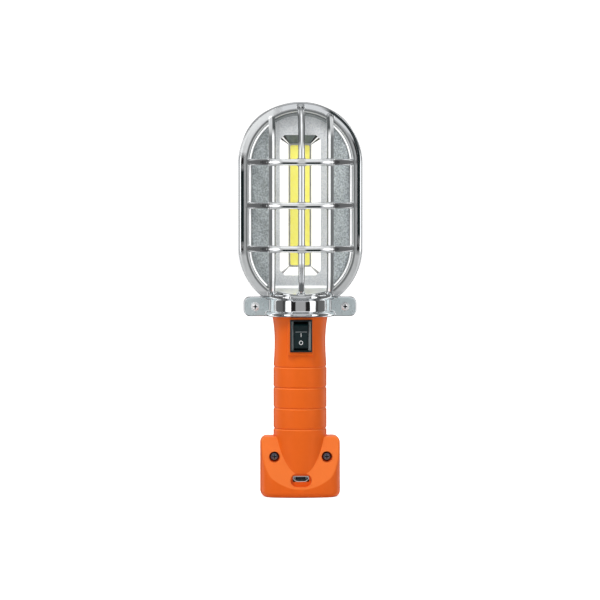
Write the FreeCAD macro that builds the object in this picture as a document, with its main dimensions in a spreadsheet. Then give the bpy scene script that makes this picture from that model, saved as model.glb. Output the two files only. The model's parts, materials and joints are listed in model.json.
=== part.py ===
"""Cordless inspection lamp: a chromed cage head on an orange handle with a magnetic foot.

The frame stands the lamp upright: +Z up, the light faces -Y, +X is to the right of
someone who looks at the light. The origin is the middle of the foot's underside.
Every length is in millimetres and every driving dimension is a cell of the sheet Sizes.
"""
import FreeCAD, Part
import math
import os
import Sketcher
from FreeCAD import Placement, Rotation, Vector

DIMENSIONS = {
    # foot
    "foot_half_width": 18.6,
    "foot_half_depth": 14.9,
    "foot_corner_x": 17.5,
    "foot_corner_y": 11.7,
    "foot_corner_radius": 7.0,
    "foot_height": 28.0,
    "foot_top_edge": 3.0,
    "foot_bottom_edge": 2.6,
    "foot_slope_low_y": 16.4,
    "foot_slope_high_y": 5.8,
    "foot_screw_x": 12.2,
    "foot_screw_z": 18.75,
    "foot_screw_recess": 2.55,
    # handle
    "grip_radius": 12.4,
    "grip_bore": 9.6,
    "grip_shoulder_z": 60.6,
    "groove_first_z": 31.6,
    "groove_pitch": 9.577,
    "groove_depth": 0.4,
    "groove_round": 0.6,
    "waist_radius": 11.85,
    "waist_z": 72.6,
    "grip_top_radius": 12.85,
    "grip_top_z": 83.6,
    "floor_z": 6.2,
    "spigot_radius": 12.2,
    "spigot_top_z": 92.6,
    "latch_z": 88.2,
    "latch_depth": 0.8,
    "latch_half_height": 1.1,
    "channel_half_width": 3.2,
    "channel_y": 11.3,
    # collar and ears
    "collar_low_z": 83.7,
    "collar_high_z": 94.0,
    "collar_radius": 14.0,
    "collar_bore": 12.3,
    "bead_radius": 16.2,
    "bead_height": 2.1,
    "ear_low_z": 83.7,
    "ear_high_z": 92.9,
    "ear_reach": 26.3,
    "ear_thick": 2.0,
    "ear_corner": 2.9,
    "ear_screw_x": 20.9,
    "ear_screw_z": 88.3,
    # cage
    "head_radius": 28.8,
    "head_low_z": 115.7,
    "head_high_z": 154.4,
    "rim_depth": 8.0,
    "rim_opening": 24.0,
    "rim_recess": 26.8,
    "rim_flange": 2.4,
    "rim_crown": 9.0,
    "rim_crown_x": 24.8,
    "rim_round": 1.0,
    "rim_bevel": 0.7,
    "cage_depth": 20.5,
    "rib_width": 3.15,
    "rib_depth": 3.2,
    "rib_round": 1.1,
    "rib_bend": 13.5,
    "rib_row_bow": 31.0,
    "rib_row_end_bend": 5.0,
    "rib_end_radius": 27.2,
    "rib_pitch_x": 13.4,
    "rib_pitch_z": 20.0,
    "rib_middle_z": 135.35,
    "rib_landing_z": 91.6,
    "throat_top_z": 97.3,
    "throat_half_width": 15.2,
    # rear shell
    "rear_half_width": 27.4,
    "rear_crown_radius": 32.0,
    "rear_shoulder_radius": 23.0,
    "rear_top_z": 183.1,
    "rear_depth": 13.0,
    "rear_wall": 1.6,
    "rear_round": 5.0,
    # reflector and light source
    "dish_thick": 1.1,
    "dish_flange": 26.6,
    "dish_ridge": 23.7,
    "dish_ridge_width": 1.2,
    "dish_ridge_y": 6.6,
    "dish_back_y": 4.3,
    "dish_low_z": 97.5,
    "panel_half_width": 13.0,
    "panel_y": 3.6,
    "wing_y": 6.1,
    "well_half_width": 9.9,
    "well_low_z": 102.5,
    "well_high_z": 168.3,
    "well_corner": 2.4,
    "window_half_width": 5.2,
    "window_low_z": 106.7,
    "window_high_z": 163.9,
    "window_corner": 0.6,
    "board_y": 0.6,
    "board_thick": 1.0,
    "board_margin": 1.4,
    "phosphor_half_width": 4.5,
    "phosphor_thick": 0.4,
    "plate_half_width": 14.6,
    "plate_thick": 1.5,
    "plate_screw_x": 12.2,
    "plate_screw_low_z": 112.5,
    "plate_screw_high_z": 158.0,
    # switch
    "switch_z": 75.1,
    "pad_half_width": 6.0,
    "pad_low_z": 66.05,
    "pad_y": 12.7,
    "bezel_half_width": 5.1,
    "bezel_half_height": 7.5,
    "bezel_thick": 1.2,
    "case_half_width": 4.3,
    "case_half_height": 6.8,
    "case_depth": 11.0,
    "case_wall": 0.9,
    "pivot_y": 10.8,
    "pivot_radius": 0.8,
    "rocker_radius": 5.9,
    "rocker_half_width": 3.2,
    "rocker_crease": 2.2,
    "rocker_tilt": 9.0,
    "blade_tilt": 7.0,
    "blade_y": 4.1,
    # cell, charging board and magnet
    "cell_radius": 9.1,
    "cell_low_z": 14.2,
    "cell_high_z": 63.4,
    "charger_z": 6.4,
    "charger_thick": 1.0,
    "socket_z": 8.75,
    "socket_mouth_y": 11.4,
    "magnet_radius": 9.6,
    "magnet_height": 3.0,
    "cup_radius": 11.2,
    "cup_height": 4.0,
    # hanging hook
    "swivel_z": 165.1,
    "swivel_radius": 8.0,
    "swivel_thick": 2.0,
    "hook_pivot_rise": 5.2,
    "hook_pivot_y": 17.8,
    "hook_barrel_radius": 2.2,
    "hook_pin_radius": 1.0,
    "hook_thick": 2.4,
    "hook_band": 3.6,
    "hook_bow_radius": 8.0,
    "hook_bow_z": 150.0,
    "hook_tip_z": 156.0,
}

# fits, small fasteners and the bought-in parts inside
PLAY = 0.05
GLIDE = 0.08
CLOSE = 0.01
FAR = 100
SIDES = (("left", -1), ("right", 1))
EAR_EDGE = 0.4
EAR_SCREW_RADIUS = 1.0
EAR_HEAD_RADIUS = 1.95
EAR_HEAD_HEIGHT = 1.3
PLATE_BOSS_RADIUS = 2.0
PLATE_SCREW_RADIUS = 0.8
PLATE_SCREW_BITE = 3.0
PLATE_HEAD_RADIUS = 1.8
PLATE_HEAD_HEIGHT = 1.1
HEAD_DOME = 0.8
CROSS_REACH = 0.62
CROSS_HALF_WIDTH = 0.16
CROSS_DEPTH = 0.5
NUT_CORNER_RADIUS = 2.3
NUT_HEIGHT = 1.6
EAR_SCREW_PAST_EAR = 1.9
RIDGE_GAP = 0.4
SPIGOT_ROOM = 0.3
SIDE_RIB_RISE = 1.2
THROAT_BACK_Y = 4.6
THROAT_LIP = 0.3
THROAT_TOE = 1.2
THROAT_THICK = 1.8
THROAT_INSET = 0.6
REAR_LIP_WIDTH = 1.8
REAR_WEB = 1.5
WIRE_WAY_RADIUS = 7.0
WIRE_WAY_DEPTH = 12
DISH_SILL = 1.2
WELL_OVERCUT = 0.4
PHOSPHOR_MARGIN = 0.7
FOOT_SLOPE_ROUND = 1.0
FOOT_SEAT_Y = 5.6
FOOT_HEAD_RADIUS = 1.95
FOOT_HEAD_HEIGHT = 1.5
FOOT_SCREW_RADIUS = 1.1
FOOT_SCREW_TIP_Y = 6.0
RIVET_RADIUS = 2.0
LUG_INNER_X = 2.7
LUG_OUTER_X = 4.3
CHARGER_HALF_WIDTH = 10.0
CHARGER_FRONT_Y = 8.8
CHARGER_BACK_Y = 9.2
SOCKET_HALF_WIDTH = 3.75
SOCKET_HALF_HEIGHT = 1.3
SOCKET_DEPTH = 5.4
PORT_RECESS_HALF_WIDTH = 4.9
PORT_RECESS_RADIUS = 3.1
TERMINAL_OFFSET = 4.3
PLUNGER_TIP = 6.3
GRIP_BASE_Z = 1
RING_COUNT = 4
CELL_BAY_LOW_Z = 13.5
PARTS_BAY_TOP_Z = 14
BOARD_LEDGE = 1.0
WIRE_CHANNEL_FRONT_Y = 7.5
WIRE_CHANNEL_TOP_Z = 70
PORT_RECESS_DROP = 0.6
PAD_BEVEL = 0.7
BEZEL_ROUND = 0.5
BEZEL_FRAME = 0.7
ROCKER_GAP = 0.2
AXLE_FIT = 0.06
CASE_FLOOR = 1.2
TERMINAL_HALF_WIDTH = 1.4
TERMINAL_HALF_THICK = 0.25
TERMINAL_TAIL = 4.5
RIVET_HEAD_RADIUS = 3.4
RIVET_HEAD_HEIGHT = 1.0
RIVET_CLINCH = 0.8
WIRE_RADIUS = 0.5
WIRE_BEND = 2.5

doc = FreeCAD.newDocument("inspection_lamp")
sheet = doc.addObject("Spreadsheet::Sheet", "Sizes")


class Size:
    """A length that knows its value and the sheet expression it comes from."""

    def __init__(self, value, text):
        self.value = value
        self.text = text

    def __add__(self, other):
        other = size(other)
        return Size(self.value + other.value, f"({self.text} + {other.text})")

    def __sub__(self, other):
        other = size(other)
        return Size(self.value - other.value, f"({self.text} - {other.text})")

    def __mul__(self, other):
        other = size(other)
        return Size(self.value * other.value, f"({self.text} * {other.text})")

    def __truediv__(self, other):
        other = size(other)
        return Size(self.value / other.value, f"({self.text} / {other.text})")

    def __neg__(self):
        return Size(-self.value, f"(-1 * {self.text})")

    def __radd__(self, other):
        return size(other) + self

    def __rsub__(self, other):
        return size(other) - self

    def __rmul__(self, other):
        return size(other) * self

    def __float__(self):
        return float(self.value)


def size(value):
    """value as a Size; a plain number keeps its own figure as its expression."""
    return value if isinstance(value, Size) else Size(float(value), f"({value})")


def root(value):
    """Square root of a Size."""
    return Size(math.sqrt(value.value), f"sqrt({value.text})")


class Cells:
    """Reads a driving dimension from its cell by name: S.grip_radius."""

    def __getattr__(self, name):
        return Size(float(sheet.get(name)), f"Sizes.{name}")


S = Cells()


def fill_sheet():
    """One row a dimension: its name in column A, its value and alias in column B."""
    for row, (name, value) in enumerate(DIMENSIONS.items(), start=1):
        sheet.set(f"A{row}", name)
        sheet.set(f"B{row}", str(value))
        sheet.setAlias(f"B{row}", name)
    doc.recompute()


def bind(obj, name, value):
    """Sets a property of obj and ties it to the sheet where value comes from there."""
    value = size(value)
    if "Sizes." in value.text:
        obj.setExpression(name, value.text)
    elif name.startswith(".Placement.Base."):
        base = obj.Placement.Base
        setattr(base, name[-1], value.value)
        obj.Placement = Placement(base, obj.Placement.Rotation)
    else:
        setattr(obj, name, value.value)


def bind_place(obj, point):
    """Ties the position of obj to a point given as three lengths."""
    for letter, value in zip("xyz", point):
        bind(obj, f".Placement.Base.{letter}", value)


TURNS = {
    "+Z": Rotation(),
    "+Y": Rotation(Vector(1, 0, 0), -90),
    "-Y": Rotation(Vector(1, 0, 0), 90),
    "+X": Rotation(Vector(0, 1, 0), 90),
}


def box(name, low, high):
    """A block between two corners."""
    obj = doc.addObject("Part::Box", name)
    for side, a, b in zip(("Length", "Width", "Height"), low, high):
        bind(obj, side, size(b) - size(a))
    bind_place(obj, low)
    return obj


def rod(name, radius, start, length, along="+Z"):
    """A cylinder from start along one axis of the frame."""
    obj = doc.addObject("Part::Cylinder", name)
    bind(obj, "Radius", radius)
    bind(obj, "Height", length)
    obj.Placement = Placement(Vector(), TURNS[along])
    bind_place(obj, start)
    return obj


def fuse(name, *parts):
    obj = doc.addObject("Part::MultiFuse", name)
    obj.Shapes = list(parts)
    obj.Refine = True
    return obj


def common(name, base, tool):
    obj = doc.addObject("Part::Common", name)
    obj.Base = base
    obj.Tool = tool
    return obj


def cut(name, base, *tools):
    """base with every tool taken away."""
    obj = doc.addObject("Part::Cut", name)
    obj.Base = base
    obj.Tool = tools[0] if len(tools) == 1 else fuse(name + "_tools", *tools)
    return obj


def round_edges(name, base, radius, chosen):
    """base with a fillet on the edges that chosen picks."""
    doc.recompute()
    obj = doc.addObject("Part::Fillet", name)
    obj.Base = base
    edges = base.Shape.Edges
    obj.Edges = [(i + 1, radius, radius) for i, e in enumerate(edges) if chosen(e)]
    return obj


def group(name, *parts):
    """Alike solids that share one node."""
    obj = doc.addObject("Part::Compound", name)
    obj.Links = list(parts)
    return obj


def plane_of(body, role):
    return [o for o in body.Origin.OriginFeatures if o.Role == role][0]


def new_sketch(body, name, role):
    """A sketch on one origin plane of body. Sketch X runs along +X, or along +Y on YZ."""
    made = body.newObject("Sketcher::SketchObject", name)
    made.AttachmentSupport = [(plane_of(body, role), "")]
    made.MapMode = "FlatFace"
    return made


def flat(point):
    return Vector(float(size(point[0])), float(size(point[1])), 0)


def pin_point(sketch, geometry, which, point, axes="xy"):
    """Ties a sketch point to two lengths from the sketch's origin."""
    for kind, letter, value in (("DistanceX", "x", point[0]), ("DistanceY", "y", point[1])):
        if letter not in axes:
            continue
        value = size(value)
        number = sketch.addConstraint(
            Sketcher.Constraint(kind, -1, 1, geometry, which, value.value)
        )
        if "Sizes." in value.text:
            sketch.setExpression(f"Constraints[{number}]", value.text)


def draw(sketch, start, *steps, closed=True):
    """An outline. A step is the next corner, or (centre, next corner, "left" or "right") for an arc."""
    corner = start
    ends = []
    for step in steps:
        if len(step) == 2:
            line = Part.LineSegment(flat(corner), flat(step))
            number = sketch.addGeometry(line, False)
            ends.append((number, 1, 2))
            pin_point(sketch, number, 2, step)
            corner = step
            continue
        centre, after, turn = step
        first, last = (corner, after) if turn == "left" else (after, corner)
        arm_1, arm_2 = flat(first) - flat(centre), flat(last) - flat(centre)
        angle_1 = math.atan2(arm_1.y, arm_1.x)
        angle_2 = math.atan2(arm_2.y, arm_2.x)
        if angle_2 <= angle_1:
            angle_2 += 2 * math.pi
        circle = Part.Circle(flat(centre), Vector(0, 0, 1), arm_1.Length)
        number = sketch.addGeometry(Part.ArcOfCircle(circle, angle_1, angle_2), False)
        ends.append((number, 1, 2) if turn == "left" else (number, 2, 1))
        pin_point(sketch, number, ends[-1][2], after)
        chord = arm_2 - arm_1
        pin_point(sketch, number, 3, centre, "y" if abs(chord.x) > abs(chord.y) else "x")
        corner = after
    following = ends[1:] + ends[:1] if closed else ends[1:]
    for (one, _, out), (two, into, _) in zip(ends, following):
        sketch.addConstraint(Sketcher.Constraint("Coincident", one, out, two, into))


def pad(body, name, sketch, length, backwards=False, both=False):
    """Adds material; forwards is -Y from an XZ sketch, +Z from XY and +X from YZ."""
    made = body.newObject("PartDesign::Pad", name)
    made.Profile = sketch
    made.Reversed = backwards
    bind(made, "Length", length)
    made.Midplane = both
    return made


def pocket(body, name, sketch, length, backwards=False, both=False):
    """Takes material away; the same directions as pad, with backwards turned round."""
    made = body.newObject("PartDesign::Pocket", name)
    made.Profile = sketch
    made.Reversed = backwards
    bind(made, "Length", length)
    made.Midplane = both
    return made


def revolve(body, name, sketch, angle=360.0):
    """Turns a YZ sketch about the sketch's upright axis, which is Z."""
    made = body.newObject("PartDesign::Revolution", name)
    made.Profile = sketch
    made.ReferenceAxis = (sketch, ["V_Axis"])
    made.Angle = angle
    return made


def new_body(name):
    return doc.addObject("PartDesign::Body", name)


def prism(name, role, length, start, *steps, backwards=False, both=False):
    """A body padded from one outline."""
    body = new_body(name)
    sketch = new_sketch(body, name + "_outline", role)
    draw(sketch, start, *steps)
    pad(body, name + "_pad", sketch, length, backwards, both)
    return body


def spun(name, start, *steps, centre=None):
    """A body turned about Z from an outline in (radius, height)."""
    body = new_body(name)
    sketch = new_sketch(body, name + "_outline", "YZ_Plane")
    draw(sketch, start, *steps)
    revolve(body, name + "_turned", sketch)
    if centre is not None:
        bind_place(body, centre)
    return body


def soften(body, name, radius, chosen):
    """Rounds the edges of the newest feature of body that chosen picks."""
    doc.recompute()
    last = body.Tip
    edges = last.Shape.Edges
    picked = [f"Edge{i}" for i, edge in enumerate(edges, start=1) if chosen(edge)]
    made = body.newObject("PartDesign::Fillet", name)
    made.Base = (last, picked)
    bind(made, "Radius", radius)


def bevel(body, name, width, chosen):
    """Chamfers the edges of the newest feature of body that chosen picks."""
    doc.recompute()
    last = body.Tip
    edges = last.Shape.Edges
    picked = [f"Edge{i}" for i, edge in enumerate(edges, start=1) if chosen(edge)]
    made = body.newObject("PartDesign::Chamfer", name)
    made.Base = (last, picked)
    bind(made, "Size", width)


def lies_at(axis, value):
    """Picks edges that lie wholly at one place along an axis."""
    value = float(value)

    def chosen(edge):
        extent = edge.BoundBox
        low, high = getattr(extent, axis + "Min"), getattr(extent, axis + "Max")
        return abs(low - value) < CLOSE and abs(high - value) < CLOSE

    return chosen


def stands_up(edge):
    """Picks the edges that run along Z."""
    extent = edge.BoundBox
    return extent.XLength < CLOSE and extent.YLength < CLOSE


def stadium(sketch, radius):
    """The head's outline: two straight sides and two half circles."""
    low, high = S.head_low_z, S.head_high_z
    draw(
        sketch,
        (-radius, low),
        ((0, low), (radius, low), "left"),
        (radius, high),
        ((0, high), (-radius, high), "left"),
        (-radius, low),
    )


def stadium_slab(name, radius, front_y, depth):
    """A slab with the head's outline, its front face at -front_y."""
    body = new_body(name)
    outline = new_sketch(body, name + "_outline", "XZ_Plane")
    stadium(outline, radius)
    pad(body, name + "_pad", outline, depth, backwards=True)
    bind_place(body, (0, -size(front_y), 0))
    return body


def stadium_ring(name, outer, inner, front_y, depth):
    """A slab with the head's outline and a smaller opening of the same kind."""
    slab = stadium_slab(name + "_slab", outer, front_y, depth)
    hole = stadium_slab(name + "_hole", inner, size(front_y) + PLAY, size(depth) + 2 * PLAY)
    return cut(name, slab, hole)


def half_space(name, front):
    """A block that holds everything in front of the parting plane, or behind it."""
    low_y, high_y = (-FAR, 0) if front else (0, FAR)
    return box(name, (-FAR, low_y, -FAR), (FAR, high_y, 3 * FAR))


# ---------------------------------------------------------------- head castings

def collar(name, front):
    """Half of the ring that grips the handle's spigot, with a bead at both ends."""
    low, high = S.collar_low_z, S.collar_high_z
    bead = S.bead_height / 2
    bead_centre = S.bead_radius - bead
    latch_low = S.latch_z - S.latch_half_height + PLAY
    latch_high = S.latch_z + S.latch_half_height - PLAY
    latch_radius = S.collar_bore - S.latch_depth + PLAY
    ring = spun(
        name + "_ring",
        (S.collar_bore, low),
        (bead_centre, low),
        ((bead_centre, low + bead), (bead_centre, low + 2 * bead), "left"),
        (S.collar_radius, low + 2 * bead),
        (S.collar_radius, high - 2 * bead),
        (bead_centre, high - 2 * bead),
        ((bead_centre, high - bead), (bead_centre, high), "left"),
        (S.collar_bore, high),
        (S.collar_bore, latch_high),
        (latch_radius, latch_high),
        (latch_radius, latch_low),
        (S.collar_bore, latch_low),
        (S.collar_bore, low),
    )
    return common(name, ring, half_space(name + "_side", front))


def ears(name, front):
    """The strip that stands out both sides of the collar, with a screw hole in each ear."""
    low, high = S.ear_low_z, S.ear_high_z
    reach, corner = S.ear_reach, S.ear_corner
    body = new_body(name + "_strip")
    outline = new_sketch(body, name + "_outline", "XZ_Plane")
    draw(
        outline,
        (-(reach - corner), low),
        (reach - corner, low),
        ((reach - corner, low + corner), (reach, low + corner), "left"),
        (reach, high - corner),
        ((reach - corner, high - corner), (reach - corner, high), "left"),
        (-(reach - corner), high),
        ((-(reach - corner), high - corner), (-reach, high - corner), "left"),
        (-reach, low + corner),
        ((-(reach - corner), low + corner), (-(reach - corner), low), "left"),
    )
    pad(body, name + "_pad", outline, S.ear_thick, backwards=not front)
    face = -S.ear_thick if front else S.ear_thick
    soften(body, name + "_soft", EAR_EDGE, lies_at("Y", face))
    holes = [
        rod(
            f"{name}_hole_{side}",
            EAR_SCREW_RADIUS + PLAY,
            (sign * S.ear_screw_x, -FAR / 2, S.ear_screw_z),
            FAR,
            "+Y",
        )
        for side, sign in SIDES
    ]
    return cut(name, body, *holes)


def bar(name, spine_role, start, *steps):
    """A rounded bar swept along a path that leaves its start towards the front."""
    body = new_body(name)
    section = new_sketch(body, name + "_section", "XZ_Plane")
    wide, deep, corner = S.rib_width / 2, S.rib_depth, S.rib_round
    if spine_role == "YZ_Plane":
        start_y, end = start
        rounded_bar(section, -wide, end - deep, wide, end, corner)
    else:
        end, start_y = start
        rounded_bar(section, end, -wide, end + deep, wide, corner)
    section.AttachmentOffset = Placement(Vector(0, 0, -float(start_y)), Rotation())
    spine = new_sketch(body, name + "_spine", spine_role)
    draw(spine, start, *steps, closed=False)
    pipe = body.newObject("PartDesign::AdditivePipe", name + "_pipe")
    pipe.Profile = section
    pipe.Spine = (spine, [])
    return body


def rounded_bar(sketch, low_x, low_y, high_x, high_y, corner):
    """A rectangle with round corners."""
    draw(
        sketch,
        (low_x + corner, low_y),
        (high_x - corner, low_y),
        ((high_x - corner, low_y + corner), (high_x, low_y + corner), "left"),
        (high_x, high_y - corner),
        ((high_x - corner, high_y - corner), (high_x - corner, high_y), "left"),
        (low_x + corner, high_y),
        ((low_x + corner, high_y - corner), (low_x, high_y - corner), "left"),
        (low_x, low_y + corner),
        ((low_x + corner, low_y + corner), (low_x + corner, low_y), "left"),
    )


def bow_depth(x):
    """How far the bowed cage has dropped back from its crest at a distance x from the middle."""
    bow = S.rib_row_bow
    return bow - root(bow * bow - x * x)


def upright_rib(name, x, top_end, low_end):
    """A bowed cage rib in an upright plane; its ends turn back into the rim."""
    front = bow_depth(size(x)) - S.cage_depth
    turn_y = front + S.rib_bend
    top, low = top_end - S.rib_bend, low_end + S.rib_bend
    body = bar(
        name,
        "YZ_Plane",
        (turn_y, top_end),
        ((turn_y, top), (front, top), "left"),
        (front, low),
        ((turn_y, low), (turn_y, low_end), "left"),
    )
    bind_place(body, (x, 0, 0))
    return body


def level_rib(name, z):
    """A cage rib in a level plane: one wide bow with a tighter bend at each end."""
    bow, bend = S.rib_row_bow, S.rib_row_end_bend
    bow_y = bow - S.cage_depth
    bend_x = S.rib_end_radius - bend
    bend_y = bow_y - root((bow - bend) * (bow - bend) - bend_x * bend_x)
    meet_x = bend_x * bow / (bow - bend)
    meet_y = bow_y - (bow_y - bend_y) * bow / (bow - bend)
    body = bar(
        name,
        "XY_Plane",
        (-S.rib_end_radius, bend_y),
        ((-bend_x, bend_y), (-meet_x, meet_y), "left"),
        ((0, bow_y), (meet_x, meet_y), "left"),
        ((bend_x, bend_y), (S.rib_end_radius, bend_y), "left"),
    )
    bind_place(body, (0, 0, z))
    return body


def guard_rim():
    """The wide crowned rim, recessed behind for the reflector's flange."""
    outer, inner, edge = S.head_radius, S.rim_opening, S.rim_round
    crown, crown_x = S.rim_crown, S.rim_crown_x
    crown_y = crown - S.rim_depth
    edge_x = outer - edge
    edge_y = crown_y - root(
        (crown - edge) * (crown - edge) - (edge_x - crown_x) * (edge_x - crown_x)
    )
    meet_x = crown_x + (edge_x - crown_x) * crown / (crown - edge)
    meet_y = crown_y - (crown_y - edge_y) * crown / (crown - edge)
    flange_y = S.rim_flange - S.rim_depth
    body = new_body("guard_rim")
    section = new_sketch(body, "rim_section", "XY_Plane")
    draw(
        section,
        (outer, 0),
        (outer, edge_y),
        ((edge_x, edge_y), (meet_x, meet_y), "right"),
        ((crown_x, crown_y), (crown_x, -S.rim_depth), "right"),
        (inner, S.rim_bevel - S.rim_depth),
        (inner, flange_y),
        (S.rim_recess, flange_y),
        (S.rim_recess, 0),
        (outer, 0),
    )
    middle_z = (S.head_low_z + S.head_high_z) / 2
    section.AttachmentOffset = Placement(Vector(0, 0, float(middle_z)), Rotation())
    spine = new_sketch(body, "rim_spine", "XZ_Plane")
    low, high = S.head_low_z, S.head_high_z
    draw(
        spine,
        (outer, middle_z),
        (outer, high),
        ((0, high), (-outer, high), "left"),
        (-outer, low),
        ((0, low), (outer, low), "left"),
        (outer, middle_z),
    )
    pipe = body.newObject("PartDesign::AdditivePipe", "rim_pipe")
    pipe.Profile = section
    pipe.Spine = (spine, [])
    below = box("rim_below", (-FAR, -FAR, 0), (FAR, FAR, S.ear_high_z - PLAY))
    return cut("rim_cut", body, below)


def throat():
    """The sloped lid between the foot of the light opening and the collar's top bead."""
    lid = prism(
        "throat_lid",
        "YZ_Plane",
        2 * S.throat_half_width,
        (-THROAT_BACK_Y, S.throat_top_z),
        (-S.bead_radius, S.collar_high_z + THROAT_LIP),
        (-S.bead_radius, S.collar_high_z - THROAT_TOE),
        (-THROAT_BACK_Y, S.throat_top_z - THROAT_THICK),
        (-THROAT_BACK_Y, S.throat_top_z),
        both=True,
    )
    round_front = rod("throat_round", S.bead_radius - THROAT_INSET, (0, 0, 0), 3 * FAR)
    return common("throat", lid, round_front)


def front_guard():
    """The cage that covers the light, cast in one with half of the collar and its ears."""
    rib_end = S.rib_end_radius
    side_top = S.head_high_z + root(rib_end * rib_end - S.rib_pitch_x * S.rib_pitch_x)
    pieces = [guard_rim(), throat(), ears("guard_ears", True)]
    pieces.append(upright_rib("rib_middle", 0, S.head_high_z + rib_end, S.rib_landing_z))
    for side, sign in SIDES:
        pieces.append(
            upright_rib(f"rib_{side}", sign * S.rib_pitch_x, side_top,
                        S.rib_landing_z + SIDE_RIB_RISE)
        )
    for row in (-1, 0, 1):
        pieces.append(level_rib(f"rib_row_{row + 2}", S.rib_middle_z + row * S.rib_pitch_z))
    whole = fuse("guard_whole", *pieces)
    bore = rod("guard_bore", S.collar_bore, (0, 0, 0), S.spigot_top_z + SPIGOT_ROOM)
    seat = stadium_slab("guard_seat", S.rim_recess, S.rim_depth - S.rim_flange, FAR)
    ridge_room = stadium_slab(
        "guard_ridge_room", S.rim_opening, S.dish_ridge_y + RIDGE_GAP, FAR
    )
    above_throat = box("guard_seat_above", (-FAR, -FAR, S.throat_top_z), (FAR, FAR, 3 * FAR))
    room = common("guard_room", fuse("guard_room_whole", seat, ridge_room), above_throat)
    bored = cut("guard_bored", whole, bore, room)
    return fuse("front_guard", bored, collar("guard_collar", True))


def rear_slab(name, inset, depth, rounding):
    """The rear shell's solid form: a broad crown, wide shoulders and a round bottom."""
    side = S.rear_half_width - inset
    crown = S.rear_crown_radius - inset
    shoulder = S.rear_shoulder_radius - inset
    shoulder_x = side - shoulder
    reach = crown - shoulder
    crown_z = S.rear_top_z - S.rear_crown_radius
    shoulder_z = crown_z + root(reach * reach - shoulder_x * shoulder_x)
    meet_x = shoulder_x * crown / reach
    meet_z = crown_z + (shoulder_z - crown_z) * crown / reach
    low = S.head_low_z
    body = new_body(name)
    outline = new_sketch(body, name + "_outline", "XZ_Plane")
    draw(
        outline,
        (-side, low),
        ((0, low), (side, low), "left"),
        (side, shoulder_z),
        ((shoulder_x, shoulder_z), (meet_x, meet_z), "left"),
        ((0, crown_z), (-meet_x, meet_z), "left"),
        ((-shoulder_x, shoulder_z), (-side, shoulder_z), "left"),
        (-side, low),
    )
    pad(body, name + "_pad", outline, depth, backwards=True)
    soften(body, name + "_soft", rounding, lies_at("Y", depth))
    return body


def rear_shell():
    """The back of the head, cast in one with the rear half of the collar and its ears."""
    outer = rear_slab("rear_outer", 0, S.rear_depth, S.rear_round)
    inner = rear_slab(
        "rear_inner", S.rear_wall, S.rear_depth - S.rear_wall, S.rear_round - S.rear_wall
    )
    shell = cut("rear_hollow", outer, inner)
    lip_radius = S.rim_recess - 2 * PLAY
    lip_reach = S.dish_back_y - PLAY
    lip_inner = S.dish_flange - REAR_LIP_WIDTH
    lip = stadium_ring("rear_lip", lip_radius, lip_inner, lip_reach, lip_reach + REAR_WEB)
    web = stadium_ring("rear_web", S.rear_half_width - PLAY, lip_inner, -PLAY, REAR_WEB)
    clear = box("rear_lip_clear", (-FAR, -FAR, 0), (FAR, 0, S.throat_top_z))
    whole = fuse(
        "rear_whole", shell, cut("rear_lip_trimmed", lip, clear), web, ears("rear_ears", False)
    )
    bore = rod("rear_bore", S.collar_bore, (0, 0, 0), S.spigot_top_z + SPIGOT_ROOM)
    wire_way = rod("rear_wire_way", WIRE_WAY_RADIUS, (0, 0, S.spigot_top_z - 1), WIRE_WAY_DEPTH)
    hole = rod("rear_rivet_hole", RIVET_RADIUS + PLAY, (0, 0, S.swivel_z), FAR, "+Y")
    bored = cut("rear_bored", whole, bore, wire_way, hole)
    return fuse("rear_shell", bored, collar("rear_collar", False))


# ---------------------------------------------------------------- reflector and light

def well(name, grow, shrink_y):
    """The funnel's solid form, from the panel's opening back to the light's window."""
    body = new_body(name)
    near = new_sketch(body, name + "_near", "XZ_Plane")
    far = new_sketch(body, name + "_far", "XZ_Plane")
    near.AttachmentOffset = Placement(Vector(0, 0, float(S.panel_y - shrink_y)), Rotation())
    far.AttachmentOffset = Placement(Vector(0, 0, -float(S.board_y - shrink_y / 4)), Rotation())
    eight_sides(near, S.well_half_width + grow, S.well_low_z - grow, S.well_high_z + grow,
                S.well_corner)
    eight_sides(far, S.window_half_width + grow, S.window_low_z - grow,
                S.window_high_z + grow, S.window_corner)
    loft = body.newObject("PartDesign::AdditiveLoft", name + "_loft")
    loft.Profile = near
    loft.Sections = [far]
    loft.Ruled = True
    return body


def eight_sides(sketch, half_width, low, high, corner):
    """An upright rectangle with its corners cut off."""
    draw(
        sketch,
        (-half_width, low + corner),
        (-(half_width - corner), low),
        (half_width - corner, low),
        (half_width, low + corner),
        (half_width, high - corner),
        (half_width - corner, high),
        (-(half_width - corner), high),
        (-half_width, high - corner),
        (-half_width, low + corner),
    )


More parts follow.
